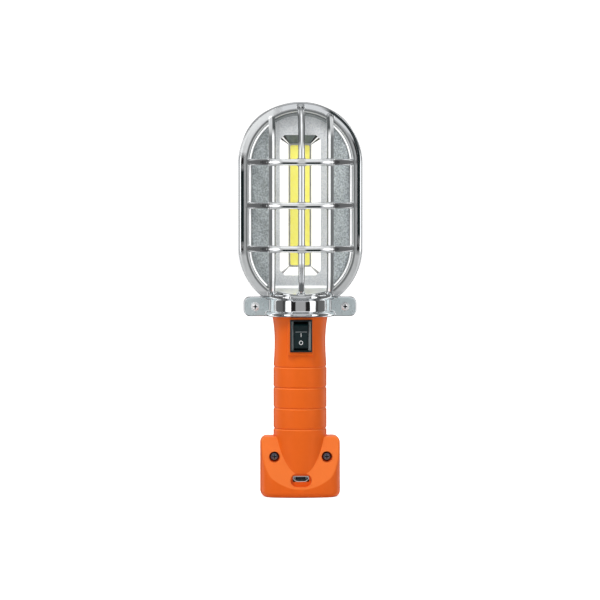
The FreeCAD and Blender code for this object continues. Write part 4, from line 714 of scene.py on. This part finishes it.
def socket_steel():
    """The port's tinned shell."""
    made = sheet_metal("socket_steel", (0.84, 0.86, 0.86), 0.30)
    made.set("Metallic", 0.6)
    return made


def tongue_black():
    """The port's inside."""
    return moulded("tongue_black", (0.03, 0.045, 0.05), 0.4, mm(0.2), mm(0.005))


MADE = {}


def material(recipe, *args):
    """The material that a recipe makes, made once."""
    key = (recipe.__name__, *args)
    if key not in MADE:
        MADE[key] = recipe(*args).material
    return MADE[key]


def dress(node, recipe, *args):
    """Gives a CAD node its finish."""
    slots = NODES[node].data.materials
    chosen = material(recipe, *args)
    if not slots:
        slots.append(chosen)
    for slot in NODES[node].material_slots:
        slot.material = chosen


# ---------------------------------------------------------------- meshes

def show(name, data):
    """A new object in the scene."""
    made = bpy.data.objects.new(name, data)
    bpy.context.scene.collection.objects.link(made)
    return made


def copy_of(node, name):
    """A new piece that starts as a CAD node's shape and stands for it."""
    made = show(name, NODES[node].data.copy())
    made.data.materials.clear()
    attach(made, NODES[node]["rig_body"])
    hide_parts(node)
    return made


def select_only(obj):
    bpy.ops.object.select_all(action="DESELECT")
    bpy.context.view_layer.objects.active = obj
    obj.select_set(True)


def apply_modifiers(obj):
    select_only(obj)
    for modifier in list(obj.modifiers):
        bpy.ops.object.modifier_apply(modifier=modifier.name)


def weld(obj):
    """Joins the split vertices that an import leaves along sharp edges."""
    work = bmesh.new()
    work.from_mesh(obj.data)
    bmesh.ops.remove_doubles(work, verts=work.verts, dist=mm(0.001))
    work.to_mesh(obj.data)
    work.free()
    if obj.data.has_custom_normals:
        select_only(obj)
        bpy.ops.mesh.customdata_custom_splitnormals_clear()


def coat(piece, *recipes):
    """Gives a piece its materials and returns the slots' numbers, for its faces."""
    for recipe in recipes:
        piece.data.materials.append(material(recipe))
    return range(len(recipes))


GUARD_VOXEL = mm(0.32)
GUARD_ROUNDING = 14
GUARD_TRIANGLES = 190_000
# the ears' front faces, and the slope between the light's opening and the collar
EAR_FROM_X, EAR_TOP_Z, EAR_FACING = mm(14.6), mm(93), -0.97
THROAT_LOW_Z, THROAT_HIGH_Z = mm(93.9), mm(97.4)
THROAT_RISING, THROAT_FACING = 0.93, -0.15


def build_guard():
    """The plated cage as one casting: ribs, rim, collar and ears run into each other."""
    guard = copy_of("front_guard", "cage_casting")
    weld(guard)
    remesh = guard.modifiers.new("blend", "REMESH")
    remesh.mode = "VOXEL"
    remesh.voxel_size = GUARD_VOXEL
    remesh.use_smooth_shade = True
    soften = guard.modifiers.new("soften", "SMOOTH")
    soften.factor = 0.5
    soften.iterations = GUARD_ROUNDING
    apply_modifiers(guard)
    triangles = sum(len(face.vertices) - 2 for face in guard.data.polygons)
    if triangles > GUARD_TRIANGLES:
        thin = guard.modifiers.new("thin", "DECIMATE")
        thin.ratio = GUARD_TRIANGLES / triangles
        apply_modifiers(guard)
    guard.data.polygons.foreach_set("use_smooth", [True] * len(guard.data.polygons))
    _, ear, throat = coat(guard, cage_chrome, ear_chrome, throat_chrome)
    for face in guard.data.polygons:
        centre, normal = face.center, face.normal
        on_slope = normal.z > THROAT_RISING and normal.y < THROAT_FACING
        if abs(centre.x) > EAR_FROM_X and centre.z < EAR_TOP_Z and normal.y < EAR_FACING:
            face.material_index = ear
        elif THROAT_LOW_Z < centre.z < THROAT_HIGH_Z and on_slope:
            face.material_index = throat


# the ridge round the dish, as distances from the spine between the arc centres
RIDGE_REACH, RIDGE_MIDDLE = mm(22.3), mm(23.35)
RIDGE_Y, RIDGE_RADIUS = mm(-6.45), mm(0.42)
FOOT_STEPS, TOP_STEPS = 24, 72
# the bar across the dish's foot, set against its lowest edge
SILL_Y, SILL_RADIUS, SILL_RISE = mm(-4.7), mm(0.75), mm(-0.15)
# the middle panel and the funnel sunk in it, and how far its facets' normals turn
PANEL_X, PANEL_FRONT = mm(12.9), mm(-3.5)
FUNNEL_X = mm(9.95)
FACET_FLAT, FACET_STEEP, FACET_LEAN = -0.97, -0.3, 0.2


def from_arc(point):
    """How far a point is from the straight spine between the head's two arc centres."""
    z = min(max(point.z, ARC_LOW_Z), ARC_HIGH_Z)
    return math.hypot(point.x, point.z - z)


def bridge(work, one, two):
    """The quads between two rings of as many vertices."""
    count = len(one)
    return [
        work.faces.new((one[n], one[(n + 1) % count], two[(n + 1) % count], two[n]))
        for n in range(count)
    ]


def tube(work, path, radius, material_index, sides=12):
    """A round bar along a path of points, with closed ends."""
    front = Vector((0, 1, 0))
    rings = []
    for index, point in enumerate(path):
        along = path[min(index + 1, len(path) - 1)] - path[max(index - 1, 0)]
        across = along.normalized().cross(front).normalized()
        ring = []
        for step in range(sides):
            angle = 2 * math.pi * step / sides
            offset = across * math.cos(angle) + front * math.sin(angle)
            ring.append(work.verts.new(point + offset * radius))
        rings.append(ring)
    for one, two in zip(rings, rings[1:]):
        for face in bridge(work, one, two):
            face.smooth = True
            face.material_index = material_index
    for ring in (rings[0], rings[-1]):
        work.faces.new(ring).material_index = material_index


def add_to(obj, build, *args):
    """Adds the faces that build makes to obj's mesh, with their normals outward."""
    work = bmesh.new()
    build(work, *args)
    bmesh.ops.recalc_face_normals(work, faces=work.faces)
    extra = bpy.data.meshes.new("extra")
    work.to_mesh(extra)
    work.free()
    whole = bmesh.new()
    whole.from_mesh(obj.data)
    whole.from_mesh(extra)
    whole.to_mesh(obj.data)
    whole.free()
    bpy.data.meshes.remove(extra)


def ridge_path(low_z):
    """Points along the dish's ridge, up one side, over the top and down the other."""
    start = math.pi + math.asin(min((ARC_LOW_Z - low_z) / RIDGE_MIDDLE, 1))
    arcs = (
        (ARC_LOW_Z, start, math.pi, FOOT_STEPS),
        (ARC_HIGH_Z, math.pi, 0, TOP_STEPS),
        (ARC_LOW_Z, 0, math.pi - start, FOOT_STEPS),
    )
    points = []
    for centre_z, first, last, steps in arcs:
        for step in range(steps + 1):
            angle = first + (last - first) * step / steps
            x, rise = RIDGE_MIDDLE * math.cos(angle), RIDGE_MIDDLE * math.sin(angle)
            points.append(Vector((x, RIDGE_Y, centre_z + rise)))
    return points


def build_reflector():
    """The dish: grained wings, a panel painted lighter, a ridge made bright by a painted glow,
    and a polished funnel.
    """
    dish = copy_of("reflector", "reflector_dish")
    grain, panel, bright, shaded, satin, upper_corner, lower_corner = coat(
        dish, grained_foil, panel_foil, painted_glow_foil, shaded_foil, satin_foil,
        upper_corner_foil, lower_corner_foil,
    )
    for face in dish.data.polygons:
        centre, normal = face.center, face.normal
        in_funnel = abs(centre.x) < FUNNEL_X and centre.y > PANEL_FRONT
        # the funnel's walls: painted glow at the sides and foot, painted shade above, painted
        # reflections at the corners
        if in_funnel and FACET_FLAT < normal.y < FACET_STEEP:
            looks_down, looks_up = normal.z < -FACET_LEAN, normal.z > FACET_LEAN
            if abs(normal.x) > FACET_LEAN and (looks_down or looks_up):
                face.material_index = upper_corner if looks_down else lower_corner
            else:
                face.material_index = shaded if looks_down else bright
        elif from_arc(centre) > RIDGE_REACH:
            face.material_index = satin
        else:
            face.material_index = panel if abs(centre.x) < PANEL_X else grain
    low_z = REFLECTOR_LOW.z
    add_to(dish, tube, ridge_path(low_z + SILL_RADIUS), RIDGE_RADIUS, bright)
    # the ridge has no painted glow over the panel, where it takes the flange's satin
    for face in dish.data.polygons:
        on_ridge = face.material_index == bright and from_arc(face.center) > RIDGE_REACH
        if on_ridge and face.center.z > ARC_HIGH_Z and abs(face.center.x) < PANEL_X:
            face.material_index = satin
    # the bar across the dish's foot, with the ridge's painted glow as its highlight
    sill = [Vector((x, SILL_Y, low_z + SILL_RISE)) for x in (-PANEL_X, 0, PANEL_X)]
    add_to(dish, tube, sill, SILL_RADIUS, bright)


def rocker_face(rocker):
    """The largest flat of the rocker's lower front: a point on it and its axes."""
    middle_z = size_of("switch_rocker")[2].z
    best = max(
        (f for f in rocker.data.polygons if f.normal.y < -0.9 and f.center.z < middle_z),
        key=lambda f: f.area,
    )
    normal = best.normal.normalized()
    right = Vector((1, 0, 0))
    up = right.cross(normal)
    if up.z < 0:
        up.negate()
    return best.center.copy(), normal, right, up


def plate(work, outline, axes, material_index, hole=None):
    """A thin raised mark from an outline in the face's own plane, with an optional hole."""
    origin, normal, right, up = axes

    def level(points, lift):
        return [
            work.verts.new(origin + right * x + up * y + normal * lift) for x, y in points
        ]

    outer_low, outer_high = level(outline, -MARK_SUNK), level(outline, MARK_THICK)
    faces = bridge(work, outer_low, outer_high)
    if hole is None:
        faces += [work.faces.new(outer_high), work.faces.new(outer_low)]
    else:
        inner_low, inner_high = level(hole, -MARK_SUNK), level(hole, MARK_THICK)
        faces += bridge(work, outer_high, inner_high)
        faces += bridge(work, inner_high, inner_low)
        faces += bridge(work, inner_low, outer_low)
    for face in faces:
        face.material_index = material_index


def oval(half_width, half_height, steps=40):
    """An oval outline about 0, 0."""
    return [
        (half_width * math.cos(2 * math.pi * n / steps),
         half_height * math.sin(2 * math.pi * n / steps))
        for n in range(steps)
    ]


def bar(half_width, half_height):
    """A rectangular outline about 0, 0."""
    return [
        (-half_width, -half_height), (half_width, -half_height),
        (half_width, half_height), (-half_width, half_height),
    ]


MARK_THICK, MARK_SUNK = mm(0.04), mm(0.05)
I_Z, I_SIZE = mm(75.55), (mm(0.13), mm(0.85))
O_Z, O_OUTSIDE, O_INSIDE = mm(72.0), (mm(0.92), mm(0.97)), (mm(0.66), mm(0.71))
CREASE_Z, CREASE_SIZE = mm(77.0), (mm(2.65), mm(0.11))


def build_rocker():
    """The rocker with its printed I and O and a painted highlight on the crease between its two
    flats.
    """
    rocker = copy_of("switch_rocker", "rocker_marked")
    _, white, grey = coat(rocker, black_plastic, ink, painted_crease_highlight)
    centre, normal, right, up = rocker_face(rocker)

    def axes_at(z):
        place = centre + up * ((z - centre.z) / up.z)
        place.x = 0
        return place, normal, right, up

    add_to(rocker, plate, bar(*I_SIZE), axes_at(I_Z), white)
    add_to(rocker, plate, oval(*O_OUTSIDE), axes_at(O_Z), white, oval(*O_INSIDE))
    # the crease's painted highlight, a thin raised mark
    add_to(rocker, plate, bar(*CREASE_SIZE), axes_at(CREASE_Z), grey)


# how far the bezel's slopes turn to the front and to the side, as parts of their normals
SLOPE_FORWARDS, SLOPE_SIDEWAYS = 0.3, (0.5, 0.97)


def build_bezel():
    """The switch's case, its bezel's inner side slopes shinier than the rest and painted lighter
    as a highlight.
    """
    bezel = copy_of("switch_housing", "switch_bezel")
    _, highlighted = coat(bezel, black_plastic, slope_painted_highlight)
    for face in bezel.data.polygons:
        sideways, forwards = face.normal.x, -face.normal.y
        inward = sideways * face.center.x < 0 and forwards > SLOPE_FORWARDS
        if inward and SLOPE_SIDEWAYS[0] < abs(sideways) < SLOPE_SIDEWAYS[1]:
            face.material_index = highlighted


def turned(work, x, z, profile, steps=48):
    """A closed solid turned about a line along Y through (x, z), from (radius, y) points."""
    rings = [
        [
            work.verts.new((
                x + radius * math.cos(2 * math.pi * n / steps), y,
                z + radius * math.sin(2 * math.pi * n / steps),
            ))
            for n in range(steps)
        ]
        for radius, y in profile[1:-1]
    ]
    ends = [work.verts.new((x, y, z)) for _, y in (profile[0], profile[-1])]
    for one, two in zip(rings, rings[1:]):
        bridge(work, one, two)
    for end, ring in zip(ends, (rings[0], rings[-1])):
        for n in range(steps):
            work.faces.new((end, ring[n], ring[(n + 1) % steps]))


# a cross recess: its bars' half width, their height above and depth below the dome's top,
# their reach as a share of the head's radius, and how much their bottoms shrink
CROSS_HALF, CROSS_ABOVE, CROSS_DEEP = mm(0.3), mm(0.2), mm(0.75)
CROSS_REACH, CROSS_TAPER = 0.62, 0.45
# faces this far in and this far under the dome belong to the recess
RECESS_REACH, RECESS_FROM, RECESS_TO = 0.7, mm(0.06), mm(0.9)
DOME_STEPS = 14
SMOOTH_BELOW = math.radians(35)


def crossed_bars(work, x, z, top_y, reach):
    """Two tapered bars that cross, to be cut out of a screw's head."""
    levels = ((top_y - CROSS_ABOVE, 1.0), (top_y + CROSS_DEEP, CROSS_TAPER))
    for upright in (False, True):
        ends = []
        for y, share in levels:
            outline = bar(reach * share, CROSS_HALF * (0.5 + share / 2))
            ends.append([
                work.verts.new((x + b, y, z + a) if upright else (x + a, y, z + b))
                for a, b in outline
            ])
        for end in ends:
            work.faces.new(end)
        bridge(work, *ends)


def fresh(name, build):
    """A new object from the faces that build makes, their normals outward."""
    work = bmesh.new()
    build(work)
    bmesh.ops.recalc_face_normals(work, faces=work.faces)
    mesh = bpy.data.meshes.new(name)
    work.to_mesh(mesh)
    work.free()
    return show(name, mesh)


def domed_screws(node, name, finish, radius, seat_y, shank_radius, lit_share):
    """Domed screws with a cross recess that stand for a node with a left and a right screw.

    The heads are painted dark, as shade, outside lit_share of their radius and in the recess.
    """
    low, high, middle = size_of(node)
    cad_radius = (high.z - low.z) / 2
    places = [(x, middle.z) for x in (low.x + cad_radius, high.x - cad_radius)]
    rise = seat_y - low.y
    bow = (radius ** 2 + rise ** 2) / (2 * rise)
    centre_y = low.y + bow
    span = math.asin(min(radius / bow, 1))
    angles = [span * n / DOME_STEPS for n in range(DOME_STEPS + 1)]
    profile = [(bow * math.sin(angle), centre_y - bow * math.cos(angle)) for angle in angles]
    profile += [(shank_radius, seat_y), (shank_radius, high.y), (0, high.y)]

    def screws(work):
        for x, z in places:
            turned(work, x, z, profile)

    def crosses(work):
        for x, z in places:
            crossed_bars(work, x, z, low.y, radius * CROSS_REACH)

    heads = fresh(name, screws)
    cutter = fresh("cross_cutter", crosses)
    recess = heads.modifiers.new("recess", "BOOLEAN")
    recess.operation = "DIFFERENCE"
    recess.solver = "EXACT"
    recess.use_self = True
    recess.object = cutter
    apply_modifiers(heads)
    bpy.data.objects.remove(cutter)
    select_only(heads)
    bpy.ops.object.shade_smooth_by_angle(angle=SMOOTH_BELOW)
    _, dark = coat(heads, finish, painted_recess_shade)
    # painted shade in the cross and round the foot screws' edges
    for face in heads.data.polygons:
        spot = face.center
        off = min(math.hypot(spot.x - x, spot.z - z) for x, z in places)
        depth = spot.y - (centre_y - math.sqrt(max(bow ** 2 - off ** 2, 0)))
        in_recess = off < radius * RECESS_REACH and RECESS_FROM < depth < RECESS_TO
        if in_recess or off > radius * lit_share:
            face.material_index = dark
    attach(heads, NODES[node]["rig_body"])
    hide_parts(node)


def build_screws():
    """The ears' bright screws and the foot's dark ones, which have painted shade at their edges.
    """
    domed_screws(
        "ear_screws", "ear_screw_domes", screw_bright,
        radius=mm(2.05), seat_y=mm(-2.0), shank_radius=mm(1.0), lit_share=1.1,
    )
    domed_screws(
        "foot_screws", "foot_screw_domes", screw_black,
        radius=mm(2.15), seat_y=mm(-5.6), shank_radius=mm(1.1), lit_share=0.72,
    )


# the port's rolled rim: its bead, how far in the mouth's lower and upper corners are, and
# the height of its widest points over its middle
SOCKET_BEAD = mm(0.16)
MOUTH_LOW_CUT, MOUTH_HIGH_CUT, MOUTH_WIDE_Z = mm(1.5), mm(0.35), mm(0.1)


def build_socket():
    """The port's shell with the rolled bright rim of its mouth."""
    shell = copy_of("usb_socket", "usb_shell")
    bright, dark = coat(shell, socket_steel, tongue_black)
    low, high, middle = size_of("usb_socket")
    # the shell's inner walls take the tongue's black as painted shade
    for face in shell.data.polygons:
        inward = face.normal.dot(middle - face.center) > 0 and abs(face.normal.y) < 0.5
        face.material_index = dark if inward else bright
    half, tall = (high.x - low.x - SOCKET_BEAD) / 2, (high.z - low.z - SOCKET_BEAD) / 2
    right_half = (
        (half - MOUTH_LOW_CUT, -tall), (half, MOUTH_WIDE_Z), (half - MOUTH_HIGH_CUT, tall)
    )
    corners = right_half + tuple((-x, z) for x, z in reversed(right_half))
    path = [Vector((x, low.y + SOCKET_BEAD, middle.z + z)) for x, z in corners]
    for start, end in zip(path, path[1:] + path[:1]):
        add_to(shell, tube, (start, end), SOCKET_BEAD, bright)


# ---------------------------------------------------------------- studio

def aim(obj, place, target):
    """Puts a camera or a lamp at a place, turned to a target."""
    obj.location = place
    obj.rotation_euler = (Vector(target) - Vector(place)).to_track_quat("-Z", "Y").to_euler()


CAMERA_AZIMUTH = -2.2
CAMERA_DISTANCE = 1.5
CAMERA_HEIGHT = 0.160
CAMERA_AIM = 0.0912
LENS = 193.5
CAMERA_REACH = (0.05, 50)


def build_camera():
    """A long lens almost square to the light's front, a little above its middle."""
    data = bpy.data.cameras.new("camera")
    data.lens = LENS
    data.clip_start, data.clip_end = CAMERA_REACH
    angle = math.radians(CAMERA_AZIMUTH)
    x, y = math.sin(angle) * CAMERA_DISTANCE, -math.cos(angle) * CAMERA_DISTANCE
    camera = show("camera", data)
    aim(camera, (x, y, CAMERA_HEIGHT), (0, 0, CAMERA_AIM))
    bpy.context.scene.camera = camera


FLOOR_REACH = 6.0
FLOOR_GLOW = 0.78


def build_floor():
    """A wide pale floor, bright enough to be white, with a soft contact shadow."""
    mesh = bpy.data.meshes.new("floor")
    corners = [(x, y, 0) for x, y in bar(FLOOR_REACH, FLOOR_REACH)]
    mesh.from_pydata(corners, [], [range(4)])
    floor = show("floor", mesh)
    surface = Surface("floor_paper", (0.90, 0.90, 0.90), 0.7)
    surface.tint(surface.noise(mm(400)), (0.89, 0.89, 0.89), (0.91, 0.91, 0.91))
    surface.set("Emission Color", (*WHITE, 1))
    to_camera = surface.add("ShaderNodeLightPath").outputs["Is Camera Ray"]
    surface.drive("Emission Strength", surface.product(to_camera, FLOOR_GLOW))
    mesh.materials.append(surface.material)
    floor.visible_glossy = False


# what polished metal mirrors: pairs of the angle round from the front, in degrees, and
# brightness, the same on the left and on the right
BANDS = (
    (0, 0.38), (17, 0.38), (21, 0.015), (36, 0.02), (39, 1.5), (58, 1.5), (61, 0.10),
    (70, 0.05), (74, 0.13), (107, 0.16), (113, 1.4), (140, 1.4), (146, 0.04), (172, 0.03),
    (176, 0.6), (180, 0.6),
)
BAND_HUE = (1, 1.005, 1.015)
# the bands end low in front and high at the sides: angles round as shares of half a turn,
# and heights as sines of elevation
BANDS_LOW_TO, BANDS_TALL_FROM = 0.14, 0.25
LOW_TOP, TALL_TOP = 0.12, 0.72
BANDS_EDGE = 0.12
# the front cards' oval outline, as shares of half a turn
OVAL_MIDDLE, OVAL_HALF = 0.264, 0.064
# above and below the bands, with the heights over which each colour comes in
SKY = (0.74, 0.75, 0.765)
ZENITH, ZENITH_FROM = (0.28, 0.285, 0.29), (0.66, 0.78)
CEILING, CEILING_FROM = (0.62, 0.63, 0.64), (0.90, 0.96)
GROUND = (0.43, 0.44, 0.45)
NADIR, NADIR_FROM = (0.13, 0.135, 0.14), (0.66, 0.80)
# the plain light on all that isn't polished, and the white behind the lamp
DIFFUSE_LIGHT = 0.36
BACKDROP_LIGHT = 1.1


def build_world():
    """White to the camera; a banded studio of cards and soft boxes to polished metal."""
    world = bpy.data.worlds.new("studio")
    world.use_nodes = True
    made = Nodes(world.node_tree)
    made.tree.nodes.clear()
    rays = made.add("ShaderNodeLightPath").outputs

    def soft(source, start, end, low=0, high=1):
        return made.spread(source, low, high, start, end, "SMOOTHSTEP")

    def backdrop(colour, strength=1):
        shade = made.add("ShaderNodeBackground")
        made.feed(shade.inputs["Color"], colour)
        made.feed(shade.inputs["Strength"], strength)
        return shade.outputs[0]

    def for_rays(kind, shown, other):
        """One background for one kind of ray, another for the rest."""
        chooser = made.add("ShaderNodeMixShader")
        for socket, source in zip(chooser.inputs, (rays[kind], other, shown)):
            made.link(source, socket)
        return chooser.outputs[0]

    x, y, z = made.split(made.add("ShaderNodeTexCoord").outputs["Generated"])
    down = made.product(z, -1)
    around = made.maths("ARCTAN2", made.size(x), made.product(y, -1))
    turn = made.ratio(around, math.pi)
    bands = made.bands(turn, [(angle / 180, level) for angle, level in BANDS], BAND_HUE)

    tall = soft(turn, BANDS_LOW_TO, BANDS_TALL_FROM, LOW_TOP, TALL_TOP)
    across = made.ratio(made.less(turn, OVAL_MIDDLE), OVAL_HALF)
    inside = made.less(1, made.product(across, across))
    taper = made.maths("SQRT", made.larger(inside, 0))
    outside = made.maths("LESS_THAN", inside, 0)
    reach = made.product(tall, made.larger(taper, outside))
    colour = made.mix(soft(made.less(z, reach), 0, BANDS_EDGE), bands, SKY)
    colour = made.mix(soft(z, *ZENITH_FROM), colour, ZENITH)
    colour = made.mix(soft(z, *CEILING_FROM), colour, CEILING)
    colour = made.mix(soft(made.less(down, reach), 0, BANDS_EDGE), colour, GROUND)
    colour = made.mix(soft(down, *NADIR_FROM), colour, NADIR)

    light = for_rays("Is Glossy Ray", backdrop(colour), backdrop(WHITE, DIFFUSE_LIGHT))
    light = for_rays("Is Camera Ray", backdrop(WHITE, BACKDROP_LIGHT), light)
    made.link(light, made.add("ShaderNodeOutputWorld").inputs[0])
    bpy.context.scene.world = world


# name, place, width, power
LAMPS = (
    ("key", (-0.38, -0.66, 1.22), 0.45, 12.0),
    ("side", (-1.1, -0.65, 0.40), 0.7, 1.0),
    ("fill", (1.1, -0.75, 0.40), 0.7, 1.5),
    ("back", (0.3, 0.9, 0.9), 0.8, 7.0),
)
LAMPS_AIM = (0, 0, 0.09)


def build_lamps():
    """Soft square lamps, which polished metal doesn't mirror."""
    for name, place, width, power in LAMPS:
        data = bpy.data.lights.new(name, "AREA")
        data.shape = "SQUARE"
        data.size = width
        data.energy = power
        lamp = show(name, data)
        aim(lamp, place, LAMPS_AIM)
        lamp.visible_glossy = False


# ---------------------------------------------------------------- assembly

# plain finishes: a recipe and what it is given
ALUMINIUM = (sheet_metal, "aluminium", (0.72, 0.73, 0.74), 0.32)
BRASS = (sheet_metal, "brass", (0.78, 0.58, 0.24), 0.25)
NICKEL = (sheet_metal, "nickel", (0.70, 0.68, 0.64), 0.25)
STEEL = (sheet_metal, "steel", (0.62, 0.63, 0.64), 0.24, (1, 0.3, 1))
SCREW_STEEL = (plated, "screw_steel", (0.78, 0.79, 0.80), 0.14, mm(0.01), mm(1.2))
HOOK_STEEL = (plated, "hook_steel", (0.72, 0.73, 0.74), 0.16, mm(0.03), mm(4))
CELL_SLEEVE = (moulded, "cell_sleeve", (0.03, 0.16, 0.42), 0.3, mm(0.6), mm(0.01))
WIRE_RED = (moulded, "wire_red", (0.55, 0.02, 0.015), 0.38, mm(0.3), mm(0.01))
WIRE_BLACK = (moulded, "wire_black", (0.012, 0.012, 0.012), 0.38, mm(0.3), mm(0.01))

# the CAD nodes that show as they are, by their finish
FINISHES = (
    ((shell_chrome,), ("rear_shell",)),
    ((orange_plastic,), ("handle_front", "handle_rear")),
    ((phosphor,), ("cob_phosphor",)),
    ((circuit_board,), ("charge_board",)),
    ((black_plastic,), ("charge_parts",)),
    ((tongue_black,), ("usb_tongue",)),
    (ALUMINIUM, ("cob_board", "heat_plate")),
    (BRASS, ("switch_plunger", "contact_blade", "switch_terminals")),
    (NICKEL, ("cell_tab_top", "cell_tab_bottom", "magnet")),
    (STEEL, ("plunger_spring", "magnet_cup")),
    (SCREW_STEEL, ("plate_screws", "ear_nuts", "swivel_rivet")),
    (HOOK_STEEL, ("hook_plate", "hook", "hook_pin")),
    (CELL_SLEEVE, ("battery_cell",)),
    (WIRE_RED, ("wire_cell_plus", "wire_switch_feed", "wire_lamp_plus")),
    (WIRE_BLACK, ("wire_cell_minus", "wire_lamp_minus")),
)

for finish, shown in FINISHES:
    for node_name in shown:
        dress(node_name, *finish)
build_guard()
build_reflector()
build_rocker()
build_bezel()
build_screws()
build_socket()
build_camera()
build_floor()
build_world()
build_lamps()
bpy.context.scene.view_settings.view_transform = "Standard"
